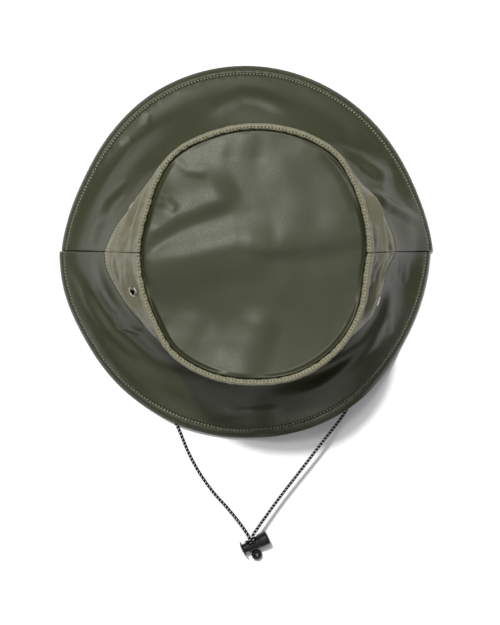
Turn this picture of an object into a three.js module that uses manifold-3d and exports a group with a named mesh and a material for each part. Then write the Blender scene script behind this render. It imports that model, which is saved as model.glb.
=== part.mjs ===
// A rain hat of coated cloth, lying on its brim, with its chin cord laid on the same surface.
// Millimetres, +Z up. The origin is on the surface, under the middle of the brim.
// The hat's front is towards -Y, its left side seam towards -X. Angles are counted from +X
// towards +Y, so the back half runs from 0 to 180 degrees and the front half from 180 to 360.

import * as THREE from 'three';
import { mergeVertices } from 'three/addons/utils/BufferGeometryUtils.js';
import Module from 'manifold-3d';

const wasm = await Module();
wasm.setup();

// Clearances and cloth
const GAP = 0.3; // between neighbouring pieces
const WALL = 1.5; // coated cloth with its turned hems and seam allowances

// Brim
const BRIM_RADIUS = 137.5; // the hem's outline, seen from above
const BRIM_LIFT = 25; // the front right wave's hem above the surface
const BRIM_SAG = 2.4; // how far the brim hangs below a straight line from crown to hem
const WAVE_DEPTH = 5; // soft waves of the brim
const WAVE_FADE_CROWN = 0.2; // waves fade out over this share of the brim at the crown
const WAVE_FADE_HEM = 0.16; // and over this share at the hem
const HEM_PRESS = 0.45; // the hem is pressed flat by this much where it rests

// Crown
const BASE_HALF_WIDTH = 104.5; // seam of crown and brim, from its middle to a side seam
const BASE_SIDE_HEIGHT = 48;
const BASE_FRONT_HEIGHT = 24;
const BASE_SHIFT_X = 2.6;
const BASE_SHIFT_Y = -1.9;
const TIP_HALF_LENGTH = 86.3; // top panel, from its middle to the back
const TIP_HEIGHT = 98;
const TIP_SIDE_DROP = 3;
const TIP_SHIFT_X = 5.0;
const TIP_SHIFT_Y = -4.3;
const TIP_PUFF = 2.5; // the top panel's middle above its edge
const DENT_DEPTH = 5; // folds of the top panel
const FOLD_DEPTH = 6; // long folds of the side band
const FOLD_FADE_LOW = 0.14; // folds fade out over this share of the wall at the base seam
const FOLD_FADE_HIGH = 0.12; // and over this share at the rolled edge
const ROLL_CORE = 0.6; // hollow inside the rolled top edge of the side band

// Eyelets
const EYELET_RADIUS = 3.8;
const EYELET_BORE = 1.9; // radius of the air hole
const EYELET_SLEEVE = 0.6; // wall of the sleeve through the cloth
const EYELET_FLANGE = 0.6; // thickness of each flange
const EYELET_STANDOFF = 0.5; // flange above the cloth, which is curved there
const EYELET_FLAT = 9; // the cloth is flat within this distance of an eyelet
const EYELET_FADE = 9; // and turns back into its folds over this distance
const EYELET_HOLE_LENGTH = 12; // of the cutter for the cloth's hole

// Chin cord and its tabs
const CORD_DIAMETER = 2.2;
const TAB_WIDTH = 7;
const TAB_LENGTH = 13;
const TAB_THICKNESS = 2;
const TAB_CLEARANCE = 0.6;
const TAB_HANG = 0.55; // share of its length that hangs below the base seam

// Cord lock
const LOCK_X = 0.86; // the mouth of the barrel
const LOCK_Y = -218.3;
const LOCK_HEIGHT = 5.6; // the barrel's axis above the surface
const LOCK_TURN = 25.6; // degrees of the barrel's axis from +X
const BARREL_LENGTH = 16.7;
const BARREL_RADIUS = 5.2; // at the closed end
const BARREL_END_WALL = 2;
const BARREL_TAPER = 0.2; // the barrel widens by this much on each side of its middle radius
const BARREL_LIP = 0.5; // length of the rounded mouth
const LOCK_BEVEL = 0.6; // bevels of the barrel's closed end and the plunger's inner end
const PLUNGER_RADIUS = 3.4;
const PLUNGER_LENGTH = 9.8; // inside the barrel
const PLUNGER_TRAVEL = 2.2;
const PLUNGER_REST = 1; // of the neck, still outside the barrel when pressed
const CAP_RADIUS = 5.5;
const CAP_THICKNESS = 1.7;
const SLOT_PLACE = 4.9; // middle of the barrel's slot, from the mouth
const SLOT_LENGTH = 7.6;
const SLOT_WIDTH = 5.6;
const SLOT_TILT = 40; // degrees that the slot leans from upright towards the hat
const PLUNGER_SLOT_START = -0.6;
const PLUNGER_SLOT_END = 7.6;
const PLUNGER_SLOT_WIDTH = 4.6;

// Cord end bead
const BEAD_X = 7.6;
const BEAD_Y = -224.27;
const BEAD_RADIUS = 3.9;
const BEAD_BORE = 1;
const BEAD_HEIGHT = 4.2;
const BEAD_LIFT = 0.1;

// The cap's outline, in shares of its radius and thickness, from its middle to its underside
const CAP_OUTLINE = [
  { reach: 0, depth: 0 }, { reach: 0.6, depth: 0.2 }, { reach: 0.93, depth: 0.55 },
  { reach: 1, depth: 0.85 }, { reach: 0.96, depth: 1 },
];

// Outline tables, one row for each section. reach is a share of BRIM_RADIUS, BASE_HALF_WIDTH or
// TIP_HALF_LENGTH, and lift a share of BRIM_LIFT.
const HEM_BACK = [
  { deg: 0, reach: 1.004, lift: 0 }, { deg: 18, reach: 0.972, lift: 0 },
  { deg: 32, reach: 0.968, lift: 0 }, { deg: 60, reach: 0.984, lift: 0 },
  { deg: 90, reach: 0.997, lift: 0 }, { deg: 120, reach: 0.989, lift: 0 },
  { deg: 140, reach: 0.968, lift: 0 }, { deg: 155, reach: 0.959, lift: 0 },
  { deg: 168, reach: 0.974, lift: 0 }, { deg: 180, reach: 0.997, lift: 0 },
];
const HEM_FRONT = [
  { deg: 180, reach: 1.008, lift: 0 }, { deg: 192, reach: 1.006, lift: 0 },
  { deg: 208, reach: 0.992, lift: 0 }, { deg: 228, reach: 0.999, lift: 0 },
  { deg: 238, reach: 1.0, lift: 0.04 }, { deg: 249, reach: 1.002, lift: 0.17 },
  { deg: 261, reach: 1.004, lift: 0.12 }, { deg: 271, reach: 1.003, lift: 0.24 },
  { deg: 280, reach: 1.002, lift: 0.66 }, { deg: 294, reach: 1.001, lift: 1 },
  { deg: 308, reach: 0.998, lift: 0.82 }, { deg: 319, reach: 0.989, lift: 0.32 },
  { deg: 328, reach: 0.98, lift: 0.02 }, { deg: 342, reach: 0.979, lift: 0 },
  { deg: 360, reach: 0.989, lift: 0 },
];
const BASE_BACK = [
  { deg: 0, reach: 1 }, { deg: 7, reach: 0.985 }, { deg: 16, reach: 0.95 },
  { deg: 27, reach: 0.895 }, { deg: 45, reach: 0.832 }, { deg: 65, reach: 0.782 },
  { deg: 90, reach: 0.761 }, { deg: 115, reach: 0.782 }, { deg: 135, reach: 0.825 },
  { deg: 146, reach: 0.85 }, { deg: 158, reach: 0.868 }, { deg: 171, reach: 0.945 },
  { deg: 180, reach: 1 },
];
const BASE_FRONT = [
  { deg: 180, reach: 1 }, { deg: 186, reach: 0.993 }, { deg: 197, reach: 0.945 },
  { deg: 210, reach: 0.9 }, { deg: 225, reach: 0.855 }, { deg: 245, reach: 0.79 },
  { deg: 270, reach: 0.761 }, { deg: 295, reach: 0.79 }, { deg: 315, reach: 0.862 },
  { deg: 330, reach: 0.9 }, { deg: 341, reach: 0.915 }, { deg: 352, reach: 0.945 },
  { deg: 360, reach: 1 },
];
const TIP_BACK = [
  { deg: 0, reach: 0.908 }, { deg: 20, reach: 0.928 }, { deg: 35, reach: 0.964 },
  { deg: 50, reach: 1.009 }, { deg: 70, reach: 1.0 }, { deg: 90, reach: 0.988 },
  { deg: 110, reach: 0.983 }, { deg: 130, reach: 0.991 }, { deg: 145, reach: 0.944 },
  { deg: 160, reach: 0.901 }, { deg: 180, reach: 0.908 },
];
const TIP_FRONT = [
  { deg: 180, reach: 0.908 }, { deg: 200, reach: 0.92 }, { deg: 215, reach: 0.948 },
  { deg: 230, reach: 1.005 }, { deg: 250, reach: 1.016 }, { deg: 270, reach: 1.012 },
  { deg: 290, reach: 1.022 }, { deg: 310, reach: 1.001 }, { deg: 330, reach: 0.957 },
  { deg: 348, reach: 0.902 }, { deg: 360, reach: 0.908 },
];

// Long folds of the side band. The line of a fold crosses deg at the share up of the wall and
// climbs by drift over spread degrees. out is a share of FOLD_DEPTH.
const BAND_FOLDS = [
  { deg: 162, spread: 34, at: 0.24, drift: 0.05, width: 0.17, out: -0.55 },
  { deg: 166, spread: 34, at: 0.45, drift: 0.04, width: 0.16, out: 0.6 },
  { deg: 164, spread: 30, at: 0.66, drift: -0.02, width: 0.15, out: -0.5 },
  { deg: 160, spread: 36, at: 0.86, drift: -0.02, width: 0.14, out: 0.45 },
  { deg: 202, spread: 32, at: 0.24, drift: -0.06, width: 0.18, out: -0.5 },
  { deg: 202, spread: 36, at: 0.5, drift: -0.22, width: 0.17, out: 0.45 },
  { deg: 200, spread: 32, at: 0.76, drift: -0.08, width: 0.19, out: -0.6 },
  { deg: 18, spread: 34, at: 0.28, drift: 0.05, width: 0.18, out: -0.6 },
  { deg: 16, spread: 36, at: 0.58, drift: 0.04, width: 0.2, out: 0.75 },
  { deg: 20, spread: 32, at: 0.84, drift: 0, width: 0.14, out: -0.4 },
  { deg: 338, spread: 36, at: 0.37, drift: 0.05, width: 0.22, out: 0.8 },
  { deg: 342, spread: 34, at: 0.7, drift: 0.04, width: 0.2, out: -0.7 },
  { deg: 90, spread: 60, at: 0.5, drift: 0, width: 0.5, out: 0.5 },
  { deg: 270, spread: 60, at: 0.5, drift: 0, width: 0.5, out: 0.5 },
];

// Waves of the brim, with at counted from the crown to the hem and rise a share of WAVE_DEPTH
const BRIM_WAVES = [
  { deg: 135, spread: 40, at: 0.34, drift: 0.1, width: 0.3, out: 0.45 },
  { deg: 140, spread: 36, at: 0.72, drift: 0.05, width: 0.26, out: -0.35 },
  { deg: 90, spread: 42, at: 0.5, drift: 0, width: 0.4, out: 0.5 },
  { deg: 28, spread: 14, at: 0.4, drift: 0.3, width: 0.34, out: 0.7 },
  { deg: 44, spread: 14, at: 0.36, drift: 0.2, width: 0.32, out: -0.5 },
  { deg: 8, spread: 12, at: 0.5, drift: 0, width: 0.45, out: 0.45 },
  { deg: 350, spread: 12, at: 0.5, drift: 0, width: 0.45, out: -0.5 },
  { deg: 214, spread: 34, at: 0.72, drift: 0, width: 0.24, out: 0.6 },
  { deg: 222, spread: 32, at: 0.4, drift: 0, width: 0.24, out: -0.5 },
  { deg: 196, spread: 18, at: 0.24, drift: 0.1, width: 0.24, out: 0.4 },
  { deg: 262, spread: 34, at: 0.66, drift: 0.24, width: 0.26, out: 0.6 },
  { deg: 290, spread: 36, at: 0.28, drift: 0, width: 0.26, out: -0.7 },
  { deg: 306, spread: 30, at: 0.6, drift: 0.1, width: 0.3, out: 0.6 },
  { deg: 332, spread: 20, at: 0.45, drift: 0, width: 0.36, out: 0.35 },
];

// Folds of the top panel, from one point to another in shares of TIP_HALF_LENGTH from its middle
const TIP_FOLDS = [
  { x1: -0.9, y1: 0.05, x2: -0.52, y2: 0.4, width: 0.16, rise: 0.75 },
  { x1: -0.52, y1: 0.4, x2: -0.2, y2: 0.5, width: 0.2, rise: 0.6 },
  { x1: -0.8, y1: 0.1, x2: -0.33, y2: 0.3, width: 0.13, rise: -0.85 },
  { x1: -0.88, y1: -0.04, x2: -0.33, y2: 0.03, width: 0.16, rise: 0.7 },
  { x1: -0.33, y1: 0.03, x2: -0.1, y2: 0.12, width: 0.18, rise: 0.6 },
  { x1: -0.66, y1: 0.64, x2: -0.6, y2: 0.6, width: 0.13, rise: -0.55 },
  { x1: -0.6, y1: 0.75, x2: -0.38, y2: 0.72, width: 0.12, rise: 0.4 },
  { x1: -0.45, y1: 0.6, x2: -0.34, y2: 0.62, width: 0.12, rise: -0.5 },
  { x1: -0.24, y1: -0.96, x2: 0.0, y2: -0.56, width: 0.16, rise: 0.5 },
  { x1: -0.6, y1: -0.76, x2: -0.44, y2: -0.54, width: 0.14, rise: 0.4 },
  { x1: 0.2, y1: -0.92, x2: 0.18, y2: -0.66, width: 0.13, rise: 0.35 },
  { x1: 0.4, y1: 0.04, x2: 0.8, y2: 0.1, width: 0.16, rise: -0.5 },
  { x1: 0.5, y1: -0.16, x2: 0.72, y2: -0.24, width: 0.16, rise: 0.4 },
];

const EYELETS = [
  { name: 'eyelet_left_back', deg: 159, up: 0.42 },
  { name: 'eyelet_left_front', deg: 198, up: 0.65 },
  { name: 'eyelet_right_front', deg: 339, up: 0.37 },
  { name: 'eyelet_right_back', deg: 20.5, up: 0.5 },
];

// Sections up the side band: share of the wall, then degrees round the rolled top edge, and
// last the lip that stands against the top panel
const BAND_STATIONS = [
  { up: 0, roll: 0, lip: 0 }, { up: 0.1, roll: 0, lip: 0 }, { up: 0.22, roll: 0, lip: 0 },
  { up: 0.34, roll: 0, lip: 0 }, { up: 0.46, roll: 0, lip: 0 }, { up: 0.58, roll: 0, lip: 0 },
  { up: 0.7, roll: 0, lip: 0 }, { up: 0.82, roll: 0, lip: 0 }, { up: 0.92, roll: 0, lip: 0 },
  { up: 1, roll: 0, lip: 0 }, { up: 1, roll: 60, lip: 0 }, { up: 1, roll: 120, lip: 0 },
  { up: 1, roll: 180, lip: 0 }, { up: 1, roll: 180, lip: 1 },
];
const TIP_RINGS = [0.22, 0.42, 0.6, 0.75, 0.87, 0.95, 1];

// Facets
const BAND_COLUMNS = 30;
const BRIM_COLUMNS = 40;
const BRIM_ROWS = 6;
const TIP_SEGMENTS = 40;
const CORD_SIDES = 8;
const ROUND_SEGMENTS = 16;
const SLOT_SEGMENTS = 8;
const BEAD_STEPS = 10;
const RUN_STEPS = 34;
const TAIL_STEPS = 8;

// Steps that surface slopes are measured over
const STEP_DEG = 0.25;
const STEP_SHARE = 0.01;

// Routes of the chin cord, chosen by hand: from each tab down to the surface and to the lock,
// and then through the lock to the bead
const LEFT_RUN = [
  [-101.7, -1.9, 39.8], [-102.5, -2.2, 37.2], [-102.6, -3.0, 34.2], [-101.9, -5.2, 29.2],
  [-100.3, -9.6, 22.4], [-97.8, -17, 14.5], [-94.3, -27.5, 7.4], [-90, -40, 3.2],
  [-84.5, -55, 1.4], [-77.5, -74, 1.15], [-69, -94.5, 1.15], [-60.5, -112, 1.15],
  [-51.1, -129.6, 1.15], [-42.7, -149.5, 1.15], [-34.3, -164.8, 1.15], [-24.3, -178.7, 1.15],
  [-17.5, -186.2, 1.7], [-12.5, -191.6, 3.3], [-7.2, -197.7, 6.2], [-3.3, -202.6, 8.9],
];
const LEFT_TAIL = [
  [-3.1, -202.9, 9.05], [-0.5, -206.6, 10.7], [1.8, -210.3, 11.2], [2.86, -214.0, 9.2],
  [4.15, -216.72, 5.6], [4.7, -218.9, 3.05], [4.68, -220.02, 2.2], [4.66, -220.91, 1.8],
];
const RIGHT_RUN = [
  [107.1, -1.9, 39.8], [107.7, -2.3, 37.0], [107.5, -3.8, 33.0], [106.6, -7, 28.5],
  [105, -13.5, 24], [102.6, -23, 20], [99.3, -36, 17], [95.3, -51.5, 15], [90.9, -68, 13.9],
  [86.2, -85, 13.4], [80.6, -101, 13.2], [72.7, -118.1, 12.9], [54.5, -142.3, 11.4],
  [39.8, -161.6, 10.2], [25, -180.7, 9.9], [11.3, -199.5, 10.5],
];
const RIGHT_TAIL = [
  [11.1, -199.8, 10.5], [7.7, -204.6, 11.1], [4.9, -209.1, 11.2], [5.11, -212.94, 9.2],
  [6.41, -215.64, 5.6], [6.95, -217.82, 3.05], [6.93, -218.94, 2.2], [6.92, -219.84, 1.8],
];

const CLOTH = { color: 0x4d503f, roughness: 0.45, metalness: 0 };
const BAND_CLOTH = { color: 0x6b6a58, roughness: 0.5, metalness: 0 };
const METAL = { color: 0xa9a9a2, roughness: 0.3, metalness: 1 };
const BLACK = { color: 0x17181a, roughness: 0.4, metalness: 0 };

const radians = THREE.MathUtils.degToRad;
const hat = new THREE.Group();
const ROLL_RADIUS = WALL + ROLL_CORE;
const UP = new THREE.Vector3(0, 0, 1);

// A bell from 1 at 0 to nothing at -1 and 1
function bell(x) {
  return Math.abs(x) < 1 ? 0.5 + 0.5 * Math.cos(Math.PI * x) : 0;
}

function ramp(x) {
  const t = Math.min(1, Math.max(0, x));
  return t * t * (3 - 2 * t);
}

// A table's column at an angle, on a smooth curve through its rows
function readRow(rows, column, deg) {
  let i = rows.length - 2;
  while (i > 0 && deg < rows[i].deg) i -= 1;
  const slope = (k) => {
    const a = rows[Math.max(0, k - 1)];
    const b = rows[Math.min(rows.length - 1, k + 1)];
    return (b[column] - a[column]) / (b.deg - a.deg);
  };
  const span = rows[i + 1].deg - rows[i].deg;
  const t = (deg - rows[i].deg) / span;
  const h = t * t * (3 - 2 * t);
  const start = span * slope(i) * t * (1 - t) * (1 - t);
  const end = span * slope(i + 1) * t * t * (t - 1);
  return rows[i][column] * (1 - h) + rows[i + 1][column] * h + start + end;
}

function readOutline(back, front, column, deg) {
  const turn = ((deg % 360) + 360) % 360;
  if (turn === 0) return readRow(deg > 180 ? front : back, column, deg > 180 ? 360 : 0);
  return readRow(turn < 180 ? back : front, column, turn);
}

function outward(deg) {
  return new THREE.Vector3(Math.cos(radians(deg)), Math.sin(radians(deg)), 0);
}

// Outlines of the hem, of the crown's base seam and of the top panel
function hemPoint(deg, rows) {
  const point = outward(deg).multiplyScalar(BRIM_RADIUS * readRow(rows, 'reach', deg));
  point.z = BRIM_LIFT * readRow(rows, 'lift', deg);
  return point;
}

function basePoint(deg, rows) {
  const point = outward(deg).multiplyScalar(BASE_HALF_WIDTH * readRow(rows, 'reach', deg));
  const side = Math.cos(radians(deg)) ** 2;
  point.z = BASE_FRONT_HEIGHT + (BASE_SIDE_HEIGHT - BASE_FRONT_HEIGHT) * side;
  return point.add(new THREE.Vector3(BASE_SHIFT_X, BASE_SHIFT_Y, 0));
}

function tipRadius(deg) {
  return TIP_HALF_LENGTH * readOutline(TIP_BACK, TIP_FRONT, 'reach', deg);
}

function tipEdgeHeight(deg) {
  return TIP_HEIGHT - TIP_SIDE_DROP * Math.cos(radians(deg)) ** 2;
}

function tipPoint(deg, reach) {
  const point = outward(deg).multiplyScalar(reach);
  return point.add(new THREE.Vector3(TIP_SHIFT_X, TIP_SHIFT_Y, tipEdgeHeight(deg)));
}

// Height of the folds in a table at an angle and a share across the cloth
function foldSum(table, deg, at) {
  let sum = 0;
  for (const row of table) {
    const turn = ((deg - row.deg + 540) % 360) - 180;
    const across = at - row.at - row.drift * (turn / row.spread);
    sum += row.out * bell(turn / row.spread) * bell(across / row.width);
  }
  return sum;
}

function bandLength(deg, half) {
  const shoulder = tipPoint(deg, tipRadius(deg) + 2 * ROLL_RADIUS);
  return shoulder.distanceTo(basePoint(deg, half.base));
}

// A point on the outside of the side band, before the eyelets press it flat
function bandBarePoint(deg, station, half) {
  const base = basePoint(deg, half.base);
  const shoulder = tipPoint(deg, tipRadius(deg) + 2 * ROLL_RADIUS);
  if (station.roll === 0) {
    const wall = shoulder.clone().sub(base);
    const length = wall.length();
    wall.multiplyScalar((GAP / 2 + (length - GAP / 2) * station.up) / length);
    const fade = ramp(station.up / FOLD_FADE_LOW) * ramp((1 - station.up) / FOLD_FADE_HIGH);
    const fold = FOLD_DEPTH * foldSum(BAND_FOLDS, deg, station.up) * fade;
    return base.add(wall).addScaledVector(outward(deg), fold);
  }
  const turn = radians(station.roll);
  const point = tipPoint(deg, tipRadius(deg) + ROLL_RADIUS * (1 + Math.cos(turn)));
  point.z += ROLL_RADIUS * Math.sin(turn) - WALL * station.lip;
  return point;
}

// The same point where an eyelet near it holds the cloth flat
function bandPoint(deg, station, half) {
  const point = bandBarePoint(deg, station, half);
  for (const frame of eyeletFrames) {
    const offset = point.clone().sub(frame.point);
    const hold = 1 - ramp((offset.length() - EYELET_FLAT) / EYELET_FADE);
    point.addScaledVector(frame.normal, -offset.dot(frame.normal) * hold);
  }
  return point;
}

// A point on the top of the brim, at a share across it from the hem to the crown
function brimPoint(deg, share, half) {
  const base = basePoint(deg, half.base);
  const hem = hemPoint(deg, half.hem);
  const run = hem.clone().sub(base);
  const length = run.length();
  const out = 1 - share;
  const level = Math.hypot(run.x, run.y);
  const normal = outward(deg).multiplyScalar(-run.z / length).addScaledVector(UP, level / length);
  const fade = ramp(out / WAVE_FADE_CROWN) * ramp((1 - out) / WAVE_FADE_HEM);
  const wave = WAVE_DEPTH * foldSum(BRIM_WAVES, deg, out) * fade;
  const sag = BRIM_SAG * Math.sin(Math.PI * out);
  run.multiplyScalar((GAP / 2 + (length - GAP / 2) * out) / length);
  const point = base.add(run).addScaledVector(normal, wave - sag);
  point.z += WALL * 0.5 * out - HEM_PRESS * out * out;
  return point;
}

function segmentDistance(x, y, row) {
  const dx = row.x2 - row.x1;
  const dy = row.y2 - row.y1;
  const t = ((x - row.x1) * dx + (y - row.y1) * dy) / (dx * dx + dy * dy);
  const s = Math.min(1, Math.max(0, t));
  return Math.hypot(x - row.x1 - s * dx, y - row.y1 - s * dy);
}

// A point on the top panel, at a share of the way from its middle to its edge
function panelPoint(deg, share) {
  const reach = share * (tipRadius(deg) - GAP);
  const x = (reach * Math.cos(radians(deg))) / TIP_HALF_LENGTH;
  const y = (reach * Math.sin(radians(deg))) / TIP_HALF_LENGTH;
  let folds = 0;
  for (const row of TIP_FOLDS) folds += row.rise * bell(segmentDistance(x, y, row) / (2 * row.width));
  const point = tipPoint(deg, reach);
  const drop = TIP_HEIGHT - tipEdgeHeight(deg);
  point.z = TIP_HEIGHT - drop * share * share + TIP_PUFF * (1 - share * share);
  point.z += DENT_DEPTH * folds * (1 - share ** 8);
  return point;
}

// Closed meshes and solids
function bareGeometry(geometry) {
  const bare = geometry.clone();
  bare.deleteAttribute('normal');
  bare.deleteAttribute('uv');
  const merged = mergeVertices(bare, 1e-4);
  const kept = [];
  const index = merged.index.array;
  for (let i = 0; i < index.length; i += 3) {
    const [a, b, c] = [index[i], index[i + 1], index[i + 2]];
    if (a !== b && b !== c && a !== c) kept.push(a, b, c);
  }
  merged.setIndex(kept);
  return merged;
}

function enclosedVolume(geometry) {
  const place = geometry.attributes.position;
  const [a, b, c] = [new THREE.Vector3(), new THREE.Vector3(), new THREE.Vector3()];
  let sum = 0;
  for (let i = 0; i < geometry.index.count; i += 3) {
    a.fromBufferAttribute(place, geometry.index.getX(i));
    b.fromBufferAttribute(place, geometry.index.getX(i + 1));
    c.fromBufferAttribute(place, geometry.index.getX(i + 2));
    sum += a.dot(b.cross(c)) / 6;
  }
  return sum;
}

function toSolid(geometry) {
  const bare = bareGeometry(geometry);
  const triangles = Uint32Array.from(bare.index.array);
  if (enclosedVolume(bare) < 0) triangles.reverse();
  const vertProperties = Float32Array.from(bare.attributes.position.array);
  return new wasm.Manifold(new wasm.Mesh({ numProp: 3, vertProperties, triVerts: triangles }));
}

function toGeometry(solid) {
  const mesh = solid.getMesh();
  const geometry = new THREE.BufferGeometry();
  geometry.setAttribute('position', new THREE.BufferAttribute(mesh.vertProperties, 3));
  geometry.setIndex(new THREE.BufferAttribute(mesh.triVerts, 1));
  geometry.computeVertexNormals();
  return geometry;
}

function addPiece(name, solid, finish, parent = hat) {
  const piece = new THREE.Mesh(toGeometry(solid), new THREE.MeshStandardMaterial(finish));
  piece.name = name;
  parent.add(piece);
  return piece;
}

// Unit normal of a surface given as a function of degrees and rows. At a side seam it has no
// part along Y, so that both panels end in the same face.
function surfaceNormal(surface, deg, v, half) {
  const low = Math.max(half.from, deg - STEP_DEG);
  const high = Math.min(half.to, deg + STEP_DEG);
  const across = surface(high, v).sub(surface(low, v));
  const upper = surface(deg, Math.min(1, v + STEP_SHARE));
  const climb = upper.sub(surface(deg, Math.max(0, v - STEP_SHARE)));
  const normal = across.cross(climb);
  if (deg === half.from || deg === half.to) normal.y = 0;
  return normal.normalize();
}

// A closed sheet of cloth: a box whose top is the outside surface and whose bottom is the inside
function clothSheet(surface, half, columns, rows, near, far) {
  const box = new THREE.BoxGeometry(1, 1, 1, columns, rows, 1).translate(0.5, 0.5, 0.5);
  const place = box.attributes.position;
  for (let i = 0; i < place.count; i += 1) {
    const deg = half.from + (half.to - half.from) * place.getX(i);
    const row = place.getY(i);
    const depth = near + (far - near) * (1 - Math.round(place.getZ(i)));
    const point = surface(deg, row);
    point.addScaledVector(surfaceNormal(surface, deg, row, half), -depth);
    place.setXYZ(i, point.x, point.y + half.side * (GAP / 2), point.z);
  }
  return toSolid(box);
}

const BACK_HALF = { from: 0, to: 180, side: 1, hem: HEM_BACK, base: BASE_BACK };
const FRONT_HALF = { from: 180, to: 360, side: -1, hem: HEM_FRONT, base: BASE_FRONT };

// Where each eyelet sits on the side band, and the way it faces
const eyeletFrames = EYELETS.map((eyelet) => {
  const half = eyelet.deg < 180 ? BACK_HALF : FRONT_HALF;
  const surface = (deg, v) => bandBarePoint(deg, { up: v, roll: 0, lip: 0 }, half);
  const point = surface(eyelet.deg, eyelet.up);
  const normal = surfaceNormal(surface, eyelet.deg, eyelet.up, half);
  const turn = new THREE.Quaternion().setFromUnitVectors(new THREE.Vector3(0, 1, 0), normal);
  const seat = point.clone().add(new THREE.Vector3(0, half.side * (GAP / 2), 0));
  return { name: eyelet.name, half, point, normal, turn, seat };
});

// Stations between the rows of the table, so that the surface is smooth from row to row
function bandStation(v) {
  const place = v * (BAND_STATIONS.length - 1);
  const i = Math.min(BAND_STATIONS.length - 2, Math.floor(place + 1e-9));
  const t = place - i;
  const [a, b] = [BAND_STATIONS[i], BAND_STATIONS[i + 1]];
  const mix = (key) => a[key] + (b[key] - a[key]) * t;
  return { up: mix('up'), roll: mix('roll'), lip: mix('lip') };
}

function floorBlock() {
  const size = 4 * BRIM_RADIUS;
  return toSolid(new THREE.BoxGeometry(size, size, size).translate(0, 0, -size / 2));
}

function makeBrim(name, half) {
  const surface = (deg, v) => brimPoint(deg, v, half);
  const sheet = clothSheet(surface, half, BRIM_COLUMNS, BRIM_ROWS, 0, WALL);
  addPiece(name, sheet.subtract(floorBlock()), CLOTH);
}

function makeBand(name, half) {
  const surface = (deg, v) => bandPoint(deg, bandStation(v), half);
  let sheet = clothSheet(surface, half, BAND_COLUMNS, BAND_STATIONS.length - 1, 0, WALL);
  for (const frame of eyeletFrames) {
    if (frame.half !== half) continue;
    const radius = EYELET_BORE + EYELET_SLEEVE + GAP;
    const hole = new THREE.CylinderGeometry(radius, radius, EYELET_HOLE_LENGTH, ROUND_SEGMENTS);
    hole.applyQuaternion(frame.turn).translate(frame.seat.x, frame.seat.y, frame.seat.z);
    sheet = sheet.subtract(toSolid(hole));
  }
  addPiece(name, sheet, BAND_CLOTH);
}

function makeTip() {
  const profile = [new THREE.Vector2(0, 1)];
  for (const ring of TIP_RINGS) profile.push(new THREE.Vector2(ring, 1));
  for (const ring of [...TIP_RINGS].reverse()) profile.push(new THREE.Vector2(ring, 0));
  profile.push(new THREE.Vector2(0, 0));
  const disc = new THREE.LatheGeometry(profile, TIP_SEGMENTS).rotateX(Math.PI / 2);
  const place = disc.attributes.position;
  for (let i = 0; i < place.count; i += 1) {
    const share = Math.hypot(place.getX(i), place.getY(i));
    const turn = THREE.MathUtils.radToDeg(Math.atan2(place.getY(i), place.getX(i)));
    const deg = share < 1e-6 ? 0 : Math.round(turn * 1000) / 1000;
    const point = panelPoint((deg + 360) % 360, share);
    place.setXYZ(i, point.x, point.y, point.z - WALL * (1 - Math.round(place.getZ(i))));
  }
  addPiece('crown_top', toSolid(disc), CLOTH);
}

function makeEyelet(frame) {
  const sleeve = EYELET_BORE + EYELET_SLEEVE;
  const rim = EYELET_RADIUS - EYELET_FLANGE / 2;
  const top = EYELET_STANDOFF;
  const bottom = -WALL - EYELET_STANDOFF;
  const outline = [
    [EYELET_BORE, bottom - EYELET_FLANGE], [rim, bottom - EYELET_FLANGE], [EYELET_RADIUS, bottom],
    [sleeve, bottom], [sleeve, top], [EYELET_RADIUS, top], [rim, top + EYELET_FLANGE],
    [EYELET_BORE, top + EYELET_FLANGE], [EYELET_BORE, bottom - EYELET_FLANGE],
  ];
  const profile = outline.map(([radius, height]) => new THREE.Vector2(radius, height));
  const ring = toSolid(new THREE.LatheGeometry(profile, ROUND_SEGMENTS));
  const piece = addPiece(frame.name, ring, METAL);
  piece.position.copy(frame.seat);
  piece.quaternion.copy(frame.turn);
}

// A tab of cloth inside the crown at a side seam, which the cord hangs from
function makeTab(name, seam) {
  const box = new THREE.BoxGeometry(1, 1, 1, 4, 2, 1).translate(0.5, 0.5, 0.5);
  const place = box.attributes.position;
  const half = TAB_WIDTH / 2;
  for (let i = 0; i < place.count; i += 1) {
    const turn = THREE.MathUtils.radToDeg(((place.getX(i) - 0.5) * 2 * half) / BASE_HALF_WIDTH);
    const back = seam === 0 ? turn >= 0 : turn <= 0;
    const side = back ? BACK_HALF : FRONT_HALF;
    const deg = seam === 0 && !back ? 360 + turn : seam + turn;
    const length = bandLength(deg, side);
    const surface = (d, v) => bandPoint(d, { up: v, roll: 0, lip: 0 }, side);
    const up = (place.getY(i) - TAB_HANG) * (TAB_LENGTH / length);
    const normal = surfaceNormal(surface, deg, 2 * STEP_SHARE, side);
    const depth = WALL + TAB_CLEARANCE + TAB_THICKNESS * (1 - place.getZ(i));
    const point = surface(deg, up).addScaledVector(normal, -depth);
    place.setXYZ(i, point.x, point.y, point.z);
  }
  addPiece(name, toSolid(box), CLOTH);
}

function makeCord(name, route, steps) {
  const section = new THREE.Shape();
  for (let i = 0; i < CORD_SIDES; i += 1) {
    const turn = (2 * Math.PI * i) / CORD_SIDES;
    const x = (CORD_DIAMETER / 2) * Math.cos(turn);
    const y = (CORD_DIAMETER / 2) * Math.sin(turn);
    if (i === 0) section.moveTo(x, y);
    else section.lineTo(x, y);
  }
  section.closePath();
  const points = route.map(([x, y, z]) => new THREE.Vector3(x, y, z));
  const extrudePath = new THREE.CatmullRomCurve3(points, false, 'centripetal');
  addPiece(name, toSolid(new THREE.ExtrudeGeometry(section, { steps, extrudePath })), BLACK);
}

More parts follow.
